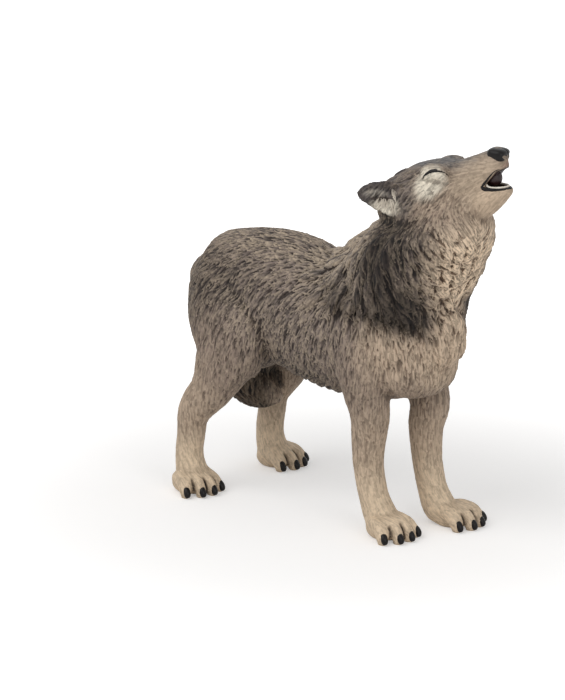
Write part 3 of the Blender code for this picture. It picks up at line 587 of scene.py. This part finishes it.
# frame, centre, half sizes, colour, strength, softness of the edge
zones = [
    ("body", (-20, 0, 71), (34, 13, 9), "dorsal", 0.9, 0.5),
    ("body", (-22, 12, 57), (17, 8, 6), "saddle", 0.75, 0.6),
    ("body", (-34, 12, 52), (13, 9, 13), "hip", 1.0, 0.6),
    ("body", (-2, 12, 46), (16, 8, 11), "flank", 0.8, 0.6),
    ("body", (0, 0, 31), (26, 17, 8), "belly", 0.9, 0.6),
    ("body", (-26, 15, 35), (13, 9, 12), "thigh", 0.9, 0.6),
    ("body", (-37, 14, 20), (15, 12, 17), "shin", 1.0, 0.5),
    ("body", (-43, 12, 34), (4, 10, 12), "shin", 0.6, 0.7),
    ("body", (-30, 15, 2), (20, 14, 12), "beige", 1.0, 0.5),
    ("body", (26, 8, 36), (14, 14, 14), "thigh", 0.9, 0.6),
    ("body", (26, 8, 10), (18, 16, 23), "shin", 1.0, 0.45),
    ("body", (30, 8, 1), (20, 16, 15), "beige", 1.0, 0.6),
    ("body", (32, 11, 47), (9, 8, 8), "chest", 0.8, 0.8),
    ("body", (43, 0, 46), (8, 12, 11), "chest", 1.0, 0.5),
    ("body", (28, 0, 74), (22, 22, 17), "ruff", 1.0, 0.35),
    ("body", (11, 8, 71), (14, 13, 13), "mane", 1.0, 0.5),
    ("body", (31, 14, 68), (6, 6, 13), "ruffDeepAndShadow", 0.9, 0.7),
    ("body", (36, 12, 58), (8, 7, 6), "ruffDeepAndShadow", 0.9, 0.6),
    ("body", (17, 12, 60), (8, 6, 6), "ruffDeepAndShadow", 0.35, 0.7),
    ("body", (48, 0, 68), (9.5, 12, 18), "throat", 1.0, 0.4),
    ("head", (2, 0, 85), (14, 14, 8), "cheek", 0.95, 0.4),
    ("head", (11, 0, 90), (11, 9, 8.5), "muzzle", 1.0, 0.5),
    ("head", (14, 0, 86), (7, 7, 4.5), "chin", 0.9, 0.5),
    ("head", (15.0, 0, 94.9), (1.3, 1.8, 0.9), "gum", 0.6, 0.5),
    ("head", (-6, 0, 95.5), (14, 6.5, 4.2), "crown", 1.0, 0.4),
    ("head", (7, 0, 99), (9, 3.2, 3.0), "crown", 0.6, 0.5),
    ("head", (-7.5, 8.5, 86.5), (3.2, 4.5, 7), "temple", 0.85, 0.5),
    ("head", (-12, 0, 88), (5, 7.5, 9), "temple", 0.8, 0.4),
    ("head", (-1.0, 8.0, 90.8), (4.2, 3.4, 3.5), "cream", 1.0, 0.3),
    ("head", (-2.4, 8.0, 88.2), (2.6, 3.0, 2.6), "cream", 0.85, 0.5),
    ("head", (-15.0, 9.5, 85.5), (6.5, 3.6, 5.5), "rim", 1.0, 0.2),
    ("head", (-14.4, 9.4, 86.4), (2.9, 1.6, 1.0), "earCup", 0.9, 0.4),
    ("head", (-12.0, 9.4, 83.4), (3.6, 1.6, 2.0), "cream", 0.95, 0.4),
    # painted shade: a dark slit across the ear's cup
    ("head", (-13.4, 9.2, 85.3), (3.2, 2.0, 0.55), "grooveShade", 0.9, 0.4),
]


def tailZone(points):
    # 1 on the tail that is tucked forward between the thighs: bounds in y, z and x, multiplied
    x, y, z = points.T
    inside = (1 - softStep(7.5, 9.0, np.abs(y - 2.5))) * (1 - softStep(40, 47, z)) * softStep(14, 18, z)
    return inside * (1 - softStep(-27, -24, x))


mouthCut = {
    "corner": (11.0, 89.6),             # u and z in the head's frame, mm
    "slope": 1.67,
    "roof": 94.0,
    "ahead": (11.0, 12.5, 14.5, 16.0, 17.0),
    "halfWidth": (3.75, 3.45, 2.75, 1.6, 0.6),
}


def mouthZone(head):
    # the wedge between the lips, above the jaw and below a line that climbs steeply from the corner
    # and runs level under the nose, and the core of the hollow behind it
    u, v, z = head.T
    start, low = mouthCut["corner"]
    roof = np.minimum(low + mouthCut["slope"] * (u - start), mouthCut["roof"])
    beyond = np.abs(v) - np.interp(u, mouthCut["ahead"], mouthCut["halfWidth"])
    wedge = (1 - softStep(-0.2, 0.1, z - roof)) * (1 - softStep(-0.3, 0.0, beyond))
    wedge *= softStep(89.0, 89.25, z)
    core = (1 - softStep(-0.8, -0.5, beyond)) * softStep(87.8, 88.2, z) * (1 - softStep(94.2, 94.5, z))
    return softStep(10.8, 11.3, u) * np.maximum(wedge, core)


def paintCoat(obj):
    # each zone in turn: colour += mask (zone colour - colour), with mask = 1 inside the zone's
    # ellipsoid and a ragged soft edge, then the tail, the hem's dark band and the painted shadow under it,
    # the painted shade in the toe grooves, and the mouth
    points = readPoints(obj)
    hair, shade = readAttribute(obj, "hair"), readAttribute(obj, "shade")
    head = toHead(points)
    colours = np.tile(np.array(linear(paint["base"])[:3]), (len(points), 1))
    caught = np.tile(np.array(brushing["base"]), (len(points), 1))
    ragged = 0.06 * hair + 0.07 * shade

    def brush(mask, name):
        # one coat of paint, and how that paint takes the dry-brush and the wash
        colours[:] += mask[:, None] * (np.array(linear(paint[name])[:3]) - colours)
        caught[:] += mask[:, None] * (np.array(brushing[name]) - caught)

    for space, centre, radii, name, strength, soft in zones:
        p = points if space == "body" else head
        off = p - np.array(centre, float)
        if centre[1] > 0:
            off[:, 1] = np.abs(p[:, 1]) - centre[1]
        far = np.sqrt(((off / np.array(radii)) ** 2).sum(1)) + ragged
        brush(strength * (1 - softStep(1 - soft, 1 + soft, far)), name)
    brush(tailZone(points), "tail")
    above = aboveHem(points, shade)
    nearHem = softStep(8, 14, points[:, 0]) * (1 - softStep(37, 44, points[:, 0]))
    # along the hem: the ruff's paint darkened just above it, and painted shadow just below it, under the
    # ruff's overhanging edge
    brush(0.6 * nearHem * softStep(-0.3, 0.3, above) * (1 - softStep(1.5, 6.0, above)), "ruffDeepAndShadow")
    brush(0.35 * nearHem * softStep(-1.6, -0.4, above) * (1 - softStep(-0.3, 0.0, above)), "ruffDeepAndShadow")
    # painted shade: dark brown laid into the cuts between the toes
    brush(toeGrooves(points) * softStep(0.2, 0.8, points[:, 2]), "grooveShade")
    mouth = mouthZone(head)
    brush(mouth, "mouth")
    layer = obj.data.attributes.new("paint", "FLOAT_COLOR", "POINT")
    rgba = np.concatenate([colours, np.ones((len(points), 1))], 1)
    layer.data.foreach_set("color", rgba.astype(np.float32).ravel())
    setAttribute(obj, "gloss", mouth)
    setAttribute(obj, "tips", caught[:, 0])
    setAttribute(obj, "cuts", caught[:, 1])


coatLook = {
    "fineCut": 0.16,          # mm of relief that count as 1, fine and broad
    "broadCut": 0.5,
    "hairScale": 1900.0,      # 1 / m: lines 0.5 mm wide
    "tuftScale": 420.0,       # tufts of 2.4 mm
    "fleckScale": 1400.0,     # 0.7 mm flecks of the brush
    "cloudScale": 220.0,      # 4.5 mm clouds of thicker and thinner paint
    "fleck": 0.5,             # how much each of them changes the tone
    "cloud": 0.36,
    "hair": 0.04,
    "lock": 0.06,
    # brown of the wash in the fine cuts, also used as painted shade in the broad hollows
    "washAndShade": "#5a4b42",
    "dryBrush": "#cbb8a0",
    # where each kind of cut takes no wash, where it takes the most, and how much that is; the broad hollows'
    # share is painted shade
    "washedAndShaded": {"relief": (0.15, -0.95, 0.95), "crest": (0.58, 0.16, 0.85), "hollow": (-0.2, -1.3, 0.6)},
    "roughness": 0.66,
    "mouthRoughness": 0.45,
}


def reliefOf(obj):
    # how far a point stands above the calm surface round it, fine and broad, in mm
    a, b = readEdges(obj)
    points, normals = readPoints(obj), readNormals(obj)
    fine = ((points - blurred(points, a, b, 10)) * normals).sum(1)
    broad = ((points - blurred(points, a, b, 60)) * normals).sum(1)
    setAttribute(obj, "relief", np.clip(fine / coatLook["fineCut"], -1.5, 1.5))
    setAttribute(obj, "hollow", np.clip(broad / coatLook["broadCut"], -1.5, 1.5))


def finestHairs(tree, place):
    # the place is measured from its tuft's middle and pressed to a seventh along the coat's way, so
    # that the noise draws lines that follow the coat
    way = addNode(tree, "ShaderNodeAttribute", {"attribute_name": "way"}).outputs["Vector"]
    tuft = addNode(tree, "ShaderNodeTexVoronoi", {"voronoi_dimensions": "3D"}, Vector=place,
                   Scale=coatLook["tuftScale"]).outputs["Position"]
    local = addNode(tree, "ShaderNodeVectorMath", {"operation": "SUBTRACT"}, i0=place, i1=tuft)
    along = addNode(tree, "ShaderNodeVectorMath", {"operation": "DOT_PRODUCT"}, i0=local.outputs[0], i1=way)
    less = addNode(tree, "ShaderNodeMath", multiply, i0=along.outputs["Value"], i1=-0.86)
    drawn = addNode(tree, "ShaderNodeVectorMath", {"operation": "SCALE"}, i0=way, Scale=less.outputs[0])
    pressed = addNode(tree, "ShaderNodeVectorMath", {"operation": "ADD"}, i0=local.outputs[0],
                      i1=drawn.outputs[0])
    apart = addNode(tree, "ShaderNodeVectorMath", multiplyAdd, i0=tuft, i1=(31.0, 31.0, 31.0),
                    i2=pressed.outputs[0])
    return addNode(tree, "ShaderNodeTexNoise", solidNoise, Vector=apart.outputs[0],
                   Scale=coatLook["hairScale"], Detail=2.0).outputs["Fac"]


# hand-painted PVC: satin acrylic over a matt casting, brown wash sitting in the cuts and a pale
# dry-brush caught on the crests, so the carving reads from a step away; the same brown also paints
# shade into the broad hollows
def coatPaint():
    material, tree, shader = newMaterial("hand_painted_pvc_coat")
    base = addNode(tree, "ShaderNodeAttribute", {"attribute_name": "paint"})
    layer = {}
    for name in ("relief", "hollow", "hair", "shade", "gloss", "cuts", "crest", "tips"):
        layer[name] = addNode(tree, "ShaderNodeAttribute", {"attribute_name": name}).outputs["Fac"]
    place = addNode(tree, "ShaderNodeTexCoord").outputs["Object"]
    speck = addNode(tree, "ShaderNodeTexNoise", solidNoise, Vector=place, Scale=coatLook["fleckScale"],
                    Detail=3.0).outputs["Fac"]
    blot = addNode(tree, "ShaderNodeTexNoise", solidNoise, Vector=place, Scale=coatLook["cloudScale"],
                   Detail=2.0).outputs["Fac"]
    strands = finestHairs(tree, place)

    # tone: the zone's colour times 1 + hairs + locks + flecks + clouds
    centred = addNode(tree, "ShaderNodeMapRange", smooth, i0=strands, i1=0.36, i2=0.62, i3=-0.62, i4=0.42)
    amount = addNode(tree, "ShaderNodeMath", multiplyAdd, i0=layer["cuts"], i1=0.85, i2=0.08)
    tone = addNode(tree, "ShaderNodeMath", multiplyAdd, i0=centred.outputs[0], i1=amount.outputs[0], i2=1.0)
    for value, share in ((layer["hair"], "hair"), (layer["shade"], "lock"), (speck, "fleck")):
        tone = addNode(tree, "ShaderNodeMath", multiplyAdd, i0=value, i1=coatLook[share], i2=tone.outputs[0])
    level = addNode(tree, "ShaderNodeMath", {"operation": "SUBTRACT"}, i0=tone.outputs[0],
                    i1=0.5 * coatLook["fleck"])
    cloud = addNode(tree, "ShaderNodeMath", multiplyAdd, i0=blot, i1=coatLook["cloud"],
                    i2=-0.5 * coatLook["cloud"])
    both = addNode(tree, "ShaderNodeMath", {"operation": "ADD"}, i0=level.outputs[0], i1=cloud.outputs[0])
    toned = addNode(tree, "ShaderNodeVectorMath", {"operation": "SCALE"}, i0=base.outputs["Color"],
                    Scale=both.outputs[0])

    # wash and painted shade: the most that any of fine cut, stroke's edge and broad hollow asks for; in the
    # broad hollows this darkening is painted shade
    most = 0.0
    for name, (none, full, share) in coatLook["washedAndShaded"].items():
        part = addNode(tree, "ShaderNodeMapRange", smooth, i0=layer[name], i1=none, i2=full, i3=0.0, i4=share)
        most = addNode(tree, "ShaderNodeMath", larger, i0=most, i1=part.outputs[0]).outputs[0]
    washAndShade = addNode(tree, "ShaderNodeMath", multiply, i0=most, i1=layer["cuts"])
    dark = addNode(tree, "ShaderNodeMix", {"data_type": "RGBA", "blend_type": "MULTIPLY"},
                   i0=washAndShade.outputs[0], i6=toned.outputs[0], i7=linear(coatLook["washAndShade"]))

    # dry-brush: the crests, broken up by the flecks
    crest = addNode(tree, "ShaderNodeMapRange", smooth, i0=layer["crest"], i1=0.45, i2=0.95, i3=0.0, i4=1.7)
    dusty = addNode(tree, "ShaderNodeMath", multiply, i0=crest.outputs[0], i1=speck)
    patchy = addNode(tree, "ShaderNodeMath", {**multiply, "use_clamp": True}, i0=dusty.outputs[0],
                     i1=layer["tips"])
    lit = addNode(tree, "ShaderNodeMix", {"data_type": "RGBA"}, i0=patchy.outputs[0], i6=dark.outputs[2],
                  i7=linear(coatLook["dryBrush"]))
    tree.links.new(lit.outputs[2], shader.inputs["Base Color"])
    rough = addNode(tree, "ShaderNodeMapRange", {}, i0=layer["gloss"], i1=0.0, i2=1.0,
                    i3=coatLook["roughness"], i4=coatLook["mouthRoughness"])
    tree.links.new(rough.outputs[0], shader.inputs["Roughness"])
    grit = addNode(tree, "ShaderNodeBump", {}, Strength=0.3, Distance=0.00008, Height=speck)
    bump = addNode(tree, "ShaderNodeBump", {}, Strength=1.0, Distance=0.0002, Height=strands,
                   Normal=grit.outputs[0])
    tree.links.new(bump.outputs[0], shader.inputs["Normal"])
    shader.inputs["IOR"].default_value = 1.47
    shader.inputs["Specular IOR Level"].default_value = 0.25
    return material


coatPiece = coatSkin()
print("coat skin:", len(coatPiece.data.vertices), "points")
carveCoat(coatPiece)
print("coat carved")
triangles = sum(len(p.vertices) - 2 for p in coatPiece.data.polygons)
if triangles > coat["facets"]:
    thin = coatPiece.modifiers.new("thin", "DECIMATE")
    thin.ratio = coat["facets"] / triangles
    bake(coatPiece)
print("coat facets:", sum(len(p.vertices) - 2 for p in coatPiece.data.polygons))
reliefOf(coatPiece)
paintCoat(coatPiece)
coatPiece.data.materials.append(coatPaint())
coatPiece.data.shade_smooth()
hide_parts("wolf_figurine")
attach(coatPiece, "root")
print("coat painted")


# nose, claws and lines: glossy enamel and cream hairs laid on the finished skin

# black enamel: a wet-looking gloss with slight pulls of the brush, so the nose and claws sparkle
def blackEnamel():
    material, tree, shader = newMaterial("gloss_black_enamel")
    place = addNode(tree, "ShaderNodeTexCoord")
    pull = addNode(tree, "ShaderNodeTexNoise", solidNoise, Vector=place.outputs["Object"],
                   Scale=900.0, Detail=2.0)         # 1.1 mm pulls of the brush
    tint = addNode(tree, "ShaderNodeMix", {"data_type": "RGBA"}, i0=pull.outputs["Fac"],
                   i6=linear("#080707"), i7=linear("#171312"))
    tree.links.new(tint.outputs[2], shader.inputs["Base Color"])
    rough = addNode(tree, "ShaderNodeMapRange", {}, i0=pull.outputs["Fac"], i1=0.3, i2=0.7, i3=0.26, i4=0.4)
    tree.links.new(rough.outputs[0], shader.inputs["Roughness"])
    bump = addNode(tree, "ShaderNodeBump", {}, Strength=0.4, Distance=0.0001, Height=pull.outputs["Fac"])
    tree.links.new(bump.outputs[0], shader.inputs["Normal"])
    shader.inputs["IOR"].default_value = 1.5
    shader.inputs["Specular IOR Level"].default_value = 0.2
    return material


# one brushed coat of acrylic: chalky, with the second tint showing where the paint is thin
def thinAcrylic(name, thick, thin, roughness):
    material, tree, shader = newMaterial(name)
    place = addNode(tree, "ShaderNodeTexCoord")
    cover = addNode(tree, "ShaderNodeTexNoise", solidNoise, Vector=place.outputs["Object"],
                    Scale=1100.0, Detail=2.0)       # 0.9 mm patches of thinner cover
    tint = addNode(tree, "ShaderNodeMix", {"data_type": "RGBA"}, i0=cover.outputs["Fac"],
                   i6=linear(thick), i7=linear(thin))
    tree.links.new(tint.outputs[2], shader.inputs["Base Color"])
    shader.inputs["Roughness"].default_value = roughness
    shader.inputs["IOR"].default_value = 1.47
    return material


def curveThrough(stations, count):
    # Catmull-Rom through given stations; every column follows, widths too
    rows = np.asarray(stations, float)
    padded = np.concatenate([2 * rows[:1] - rows[1:2], rows, 2 * rows[-1:] - rows[-2:-1]])
    t = np.linspace(0, len(rows) - 1, count)
    i = np.minimum(t.astype(int), len(rows) - 2)
    f = (t - i)[:, None]
    a, b, c, d = padded[i], padded[i + 1], padded[i + 2], padded[i + 3]
    bow = (2 * a - 5 * b + 4 * c - d) * f ** 2 + (3 * b - a - 3 * c + d) * f ** 3
    return 0.5 * (2 * b + (c - a) * f + bow)


def brushLine(skin, stations, thick=0.14, sink=0.03, count=24):
    # a raised line of paint: stations are x, y, z and half width, pulled on to the skin, and the
    # section is a flat ellipse whose long axis lies in the surface
    rows = curveThrough(stations, count)
    found = [skin.find_nearest(Vector(row[:3])) for row in rows]
    centres = np.array([hit[0] for hit in found])
    normals = np.array([hit[1] for hit in found])
    for _ in range(3):
        normals[1:-1] = unit(normals[:-2] + 2 * normals[1:-1] + normals[2:])
        centres[1:-1] = 0.25 * centres[:-2] + 0.5 * centres[1:-1] + 0.25 * centres[2:]
    ahead = unit(np.gradient(centres, axis=0))
    sides = unit(np.cross(ahead, normals))
    outs = unit(np.cross(sides, ahead))
    halfWidth = np.clip(rows[:, 3], 0.02, None)
    return tubeMesh(centres - sink * outs, sides, outs, halfWidth, np.minimum(thick, 0.8 * halfWidth), 8)


def bothSides(stations):
    # a line and its mirror image on the head's other side: v to -v
    return [stations, [(u, -v, z, w) for u, v, z, w in stations]]


def headLine(skin, stations, **more):
    # a brush line whose stations are given in the head's frame
    rows = np.array(stations, float)
    rows[:, :3] = fromHead(rows[:, :3])
    return brushLine(skin, rows, **more)


nose = {
    "centre": (13.35, 0.0, 97.05),      # head frame, mm
    "half": (2.45, 2.7, 1.72),
    "nostril": (1.45, 96.8),            # v and z of each opening
    "nostrilHalf": (0.52, 0.42),
    "depth": 1.0,
    "cleft": 0.16,                      # depth of the cut down the middle
}


def roundShell(rows=48, columns=64):
    # unit directions on a ball whose poles lie fore and aft: (sin p, cos p cos t, cos p sin t)
    polar = np.linspace(-math.pi / 2, math.pi / 2, rows + 2)[1:-1][:, None]
    turn = np.linspace(0, 2 * math.pi, columns, endpoint=False)[None]
    ways = np.stack([np.sin(polar) + 0 * turn, np.cos(polar) * np.cos(turn),
                     np.cos(polar) * np.sin(turn)], -1).reshape(-1, 3)
    ways = np.concatenate([[(-1.0, 0.0, 0.0)], ways, [(1.0, 0.0, 0.0)]])
    return ways, ringFaces(rows, columns)


def noseLeather():
    # a soft box, |x/a|^3.2 + |y/b|^3.2 + |z/c|^3.2 = 1, with two nostrils pressed in its front and
    # a shallow cut down the middle
    ways, faces = roundShell()
    size = (np.abs(ways) ** 3.2).sum(1, keepdims=True) ** (-1 / 3.2)
    body = ways * size * np.array(nose["half"])
    body[:, 2] *= 1 - 0.10 * softStep(-1.0, 2.2, body[:, 0])
    front = softStep(0.3, 1.6, body[:, 0])
    up, across = body[:, 2] + nose["centre"][2], np.abs(body[:, 1])
    aside = (across - nose["nostril"][0] - 0.25 * (up - 97.0)) / nose["nostrilHalf"][0]
    above = (up - nose["nostril"][1]) / nose["nostrilHalf"][1]
    hole = nose["depth"] * np.exp(-aside ** 2 - above ** 2)
    cleft = nose["cleft"] * np.exp(-(across / 0.16) ** 2)
    body -= unit(body) * (front * (hole + cleft))[:, None]
    return fromHead(body + np.array(nose["centre"])), faces


tongue = {
    "centre": (12.1, 0.3, 91.2),        # head frame, mm
    "half": (2.1, 2.0, 2.2),
    "furrow": 0.3,
}


def tongueFlesh():
    # a ball drawn out to the half sizes, with a furrow exp(-(v / 0.5) squared) along its top
    ways, faces = roundShell(28, 36)
    body = ways * np.array(tongue["half"])
    body[:, 2] -= tongue["furrow"] * np.exp(-(body[:, 1] / 0.5) ** 2) * np.clip(ways[:, 2], 0, 1)
    return fromHead(body + np.array(tongue["centre"])), faces


claw = {
    # forward of the toe's tip and height of the middle line, half width, half depth, mm
    "stations": [(-0.65, 2.95, 0.4, 0.3), (-0.25, 2.7, 0.70, 0.55), (0.3, 2.1, 0.88, 0.84),
                 (0.8, 1.3, 0.90, 0.86), (1.02, 0.7, 0.76, 0.66), (1.12, 0.33, 0.45, 0.33)],
    "toeReach": 4.0,
    "sideShare": 0.55,    # of that reach, on the two outer toes
    "splay": 9.0,         # degrees from toe to toe
}


def claws():
    # blunt curved plates, one down the front of every toe
    parts = []
    rows = curveThrough(claw["stations"], 14)
    for paw in paws:
        a = math.radians(paw["turn"])
        middle = np.array([paw["x"], paw["y"], 0])
        ahead = np.array([math.cos(a), math.sin(a), 0])
        side = np.array([-math.sin(a), math.cos(a), 0])
        for place in (-1.5, -0.5, 0.5, 1.5):    # toe spacings from the paw's middle line
            reach = claw["toeReach"] * (1 if abs(place) < 1 else claw["sideShare"])
            b = a + math.radians(claw["splay"] * place)
            out = np.array([math.cos(b), math.sin(b), 0])
            base = middle + (reach - 1) * ahead + place * toes["spacing"] * side
            centres = base + (2.9 + rows[:, :1]) * out + rows[:, 1:2] * np.array([0, 0, 1])
            centres[:, 2] = np.maximum(centres[:, 2], 0.05 + 0.6 * rows[:, 3])
            sides = np.tile(np.cross([0, 0, 1.0], out), (len(rows), 1))
            along = unit(np.gradient(centres, axis=0))
            outs = unit(np.cross(along, sides))
            parts.append(tubeMesh(centres, sides, outs, rows[:, 2], rows[:, 3], 14))
    points, faces = joined(parts)
    points[:, 2] = np.maximum(points[:, 2], 0.03)
    return points, faces


# lines in the head's frame: u, v, z and half width, for the right side
eyelid = [
    (-3.2, -7.4, 90.7, 0.08), (-2.7, -7.5, 91.5, 0.24), (-1.7, -7.7, 92.5, 0.38), (-0.4, -7.5, 93.1, 0.48),
    (0.9, -7.2, 93.2, 0.46), (2.0, -6.2, 92.5, 0.3), (2.9, -5.6, 91.6, 0.08),
]
jawLip = [
    (10.7, -4.0, 89.8, 0.14), (11.2, -3.9, 89.3, 0.46), (12.4, -3.7, 89.1, 0.44), (14.4, -3.1, 89.2, 0.38),
    (16.0, -2.0, 89.4, 0.3), (16.8, -0.6, 89.5, 0.24), (16.9, 0.0, 89.5, 0.22),
]
upperLip = [
    (10.9, -4.0, 89.6, 0.2), (11.5, -3.8, 90.5, 0.34), (12.5, -3.6, 91.9, 0.26), (13.5, -3.2, 93.3, 0.16),
    (14.4, -2.6, 93.9, 0.1), (15.3, -1.3, 94.1, 0.08), (15.5, 0.0, 94.1, 0.08),
]
# the teeth stand free on the jaw's inner edge: the last value is half their thickness
teeth = [
    (11.7, -3.05, 90.2, 0.1), (12.0, -3.05, 89.75, 0.18), (12.7, -2.9, 89.5, 0.24), (13.8, -2.6, 89.45, 0.24),
    (14.8, -2.1, 89.5, 0.24), (15.6, -1.3, 89.55, 0.22), (16.0, -0.5, 89.6, 0.2), (16.05, 0.0, 89.6, 0.2),
]


def toothRow(stations, count=40):
    # an upright band whose height swells and dips a little from tooth to tooth, 0.75 mm apart
    rows = curveThrough(stations, count)
    centres = fromHead(rows[:, :3])
    ahead = unit(np.gradient(centres, axis=0))
    way = np.concatenate([[0], np.cumsum(np.linalg.norm(np.diff(centres, axis=0), axis=1))])
    tall = 0.22 + 0.07 * np.abs(np.sin(math.pi * way / 0.75))
    ups = np.tile([0, 0, 1.0], (count, 1))
    ups = unit(ups - ahead * (ups * ahead).sum(1, keepdims=True))
    return tubeMesh(centres, np.cross(ups, ahead), ups, rows[:, 3], tall, 10)


def earHairs(rng):
    # pale hairs that fan down and back from the ear's front corner over its lower rim
    lines = []
    for k, t in enumerate(np.sort(rng.uniform(0, 1, 18))):
        root = np.array([-10.4 - 3.6 * (1 - t), -8.9 - 0.3 * (1 - t), 85.3])
        tip = np.array([-9.0 - 6.2 * (1 - t), -9.4, 81.4 + 2.2 * (1 - t)]) + rng.normal(0, 0.3, 3)
        bow = 0.5 * (root + tip) + np.array([0.3 * math.cos(2.1 * k), 0, 0.1])
        lines.append([(*root, 0.07), (*bow, 0.15), (*tip, 0.04)])
    for k, t in enumerate(np.linspace(0, 1, 6)):
        root = np.array([-10.6 + 1.2 * t, -8.4, 88.3 - 1.0 * t])
        tip = root + np.array([0.5 - 0.4 * t, -0.1, -3.0])
        lines.append([(*root, 0.04), (*(0.5 * (root + tip) + np.array([-0.3, 0, 0])), 0.1), (*tip, 0.04)])
    return lines


def addDetails(obj):
    # everything that is laid on the coat's skin or stands in its hollows
    skin = BVHTree.FromPolygons(readPoints(obj).tolist(), [tuple(p.vertices) for p in obj.data.polygons])
    rng = np.random.default_rng(5)
    black = blackEnamel()
    newPiece("nose_leather", *noseLeather(), black)
    newPiece("claws", *claws(), black)
    newPiece("tongue", *tongueFlesh(), thinAcrylic("dark_red_acrylic", "#2a0b0b", "#150405", 0.5))
    lines = [headLine(skin, side) for line in (eyelid, jawLip, upperLip) for side in bothSides(line)]
    newPiece("painted_lines", *joined(lines), black)
    newPiece("lower_teeth", *joined([toothRow(side) for side in bothSides(teeth)]),
             thinAcrylic("ivory_enamel", "#f3eee4", "#cfc3ae", 0.35))
    hairs = []
    for line in earHairs(rng):
        hairs += [headLine(skin, side, thick=0.12, count=10) for side in bothSides(line)]
    newPiece("ear_hairs", *joined(hairs), thinAcrylic("cream_acrylic", "#dcd3c3", "#a5988a", 0.7))


addDetails(coatPiece)
print("details laid on")


# floor, light and camera

studio = {
    "worldLevel": 0.50,       # how much of the room's light falls on the figurine
    # place, width and power of each soft box
    "lamps": {
        "key": ((-0.10, -0.60, 0.72), 0.8, 3.1),
        "fill": ((0.70, -0.25, 0.30), 0.5, 1.05),
    },
    "floorSize": 3.0,
    "azimuth": 44.0,          # of the camera, in degrees, and its height angle
    "elevation": 15.0,
    "distance": 0.9,
    "aim": (-0.020133, 0.000010, 0.037346),
    "lens": 182.2,
}


def seenDirectly(tree):
    # 1 for the eye, for mirrors and through glass, 0 for the light that falls on other things
    path = addNode(tree, "ShaderNodeLightPath")
    seen = addNode(tree, "ShaderNodeMath", larger, i0=path.outputs["Is Camera Ray"],
                   i1=path.outputs["Is Glossy Ray"])
    through = addNode(tree, "ShaderNodeMath", larger, i0=seen.outputs[0],
                      i1=path.outputs["Is Transmission Ray"])
    return through.outputs[0]


def whiteFloor():
    # matt white card: its own lit surface, with a little more light for the eye and for mirrors
    material, tree, shader = newMaterial("matt_white_card")
    shader.inputs["Base Color"].default_value = (0.80, 0.79, 0.78, 1)
    shader.inputs["Roughness"].default_value = 0.9
    place = addNode(tree, "ShaderNodeTexCoord")
    flat = addNode(tree, "ShaderNodeVectorMath", {"operation": "LENGTH"}, i0=place.outputs["Object"])
    # the glow grows from 0.33 near the middle to 0.78 further out: painted shade on the floor round the feet,
    # on top of the lamps' own shadow
    fade = addNode(tree, "ShaderNodeMapRange", smooth, i0=flat.outputs["Value"], i1=0.05, i2=0.19,
                   i3=0.33, i4=0.78)
    glow = addNode(tree, "ShaderNodeMath", multiply, i0=seenDirectly(tree), i1=fade.outputs[0])
    shader.inputs["Emission Color"].default_value = (1, 1, 1, 1)
    tree.links.new(glow.outputs[0], shader.inputs["Emission Strength"])
    half = studio["floorSize"] / 2
    mesh = bpy.data.meshes.new("floor")
    corners = [(-half, -half, 0), (half, -half, 0), (half, half, 0), (-half, half, 0)]
    mesh.from_pydata(corners, [], [(0, 1, 2, 3)])
    mesh.materials.append(material)
    floor = linked("floor", mesh)


def studioLight():
    # a plain white room and the soft boxes, each turned to the middle of the figurine
    world = bpy.data.worlds.new("studio")
    bpy.context.scene.world = world
    world.use_nodes = True
    tree = world.node_tree
    tree.nodes.clear()
    level = addNode(tree, "ShaderNodeMapRange", {}, i0=seenDirectly(tree), i1=0.0, i2=1.0,
                    i3=studio["worldLevel"], i4=1.0)
    back = addNode(tree, "ShaderNodeBackground", {}, Color=(1, 1, 1, 1), Strength=level.outputs[0])
    out = addNode(tree, "ShaderNodeOutputWorld")
    tree.links.new(back.outputs[0], out.inputs[0])
    for name, (place, size, energy) in studio["lamps"].items():
        lamp = bpy.data.lights.new(name, "AREA")
        lamp.shape = "DISK"
        lamp.size = size
        lamp.energy = energy
        box = linked(name, lamp)
        box.location = place
        box.rotation_mode = "QUATERNION"
        box.rotation_quaternion = (Vector((0, 0, 0.05)) - box.location).to_track_quat("-Z", "Y")


def photoCamera():
    # camera = aim + distance (sin az cos el, -cos az cos el, sin el), looking back at the aim
    azimuth, elevation = math.radians(studio["azimuth"]), math.radians(studio["elevation"])
    back = Vector((math.sin(azimuth) * math.cos(elevation), -math.cos(azimuth) * math.cos(elevation),
                   math.sin(elevation)))
    data = bpy.data.cameras.new("photo")
    data.sensor_width = 36
    data.lens = studio["lens"]
    data.clip_start = 0.05
    camera = linked("photo", data)
    camera.location = Vector(studio["aim"]) + studio["distance"] * back
    camera.rotation_mode = "QUATERNION"
    camera.rotation_quaternion = (-back).to_track_quat("-Z", "Y")
    bpy.context.scene.camera = camera


whiteFloor()
studioLight()
photoCamera()
bpy.context.scene.view_settings.view_transform = "Standard"
print("studio ready")
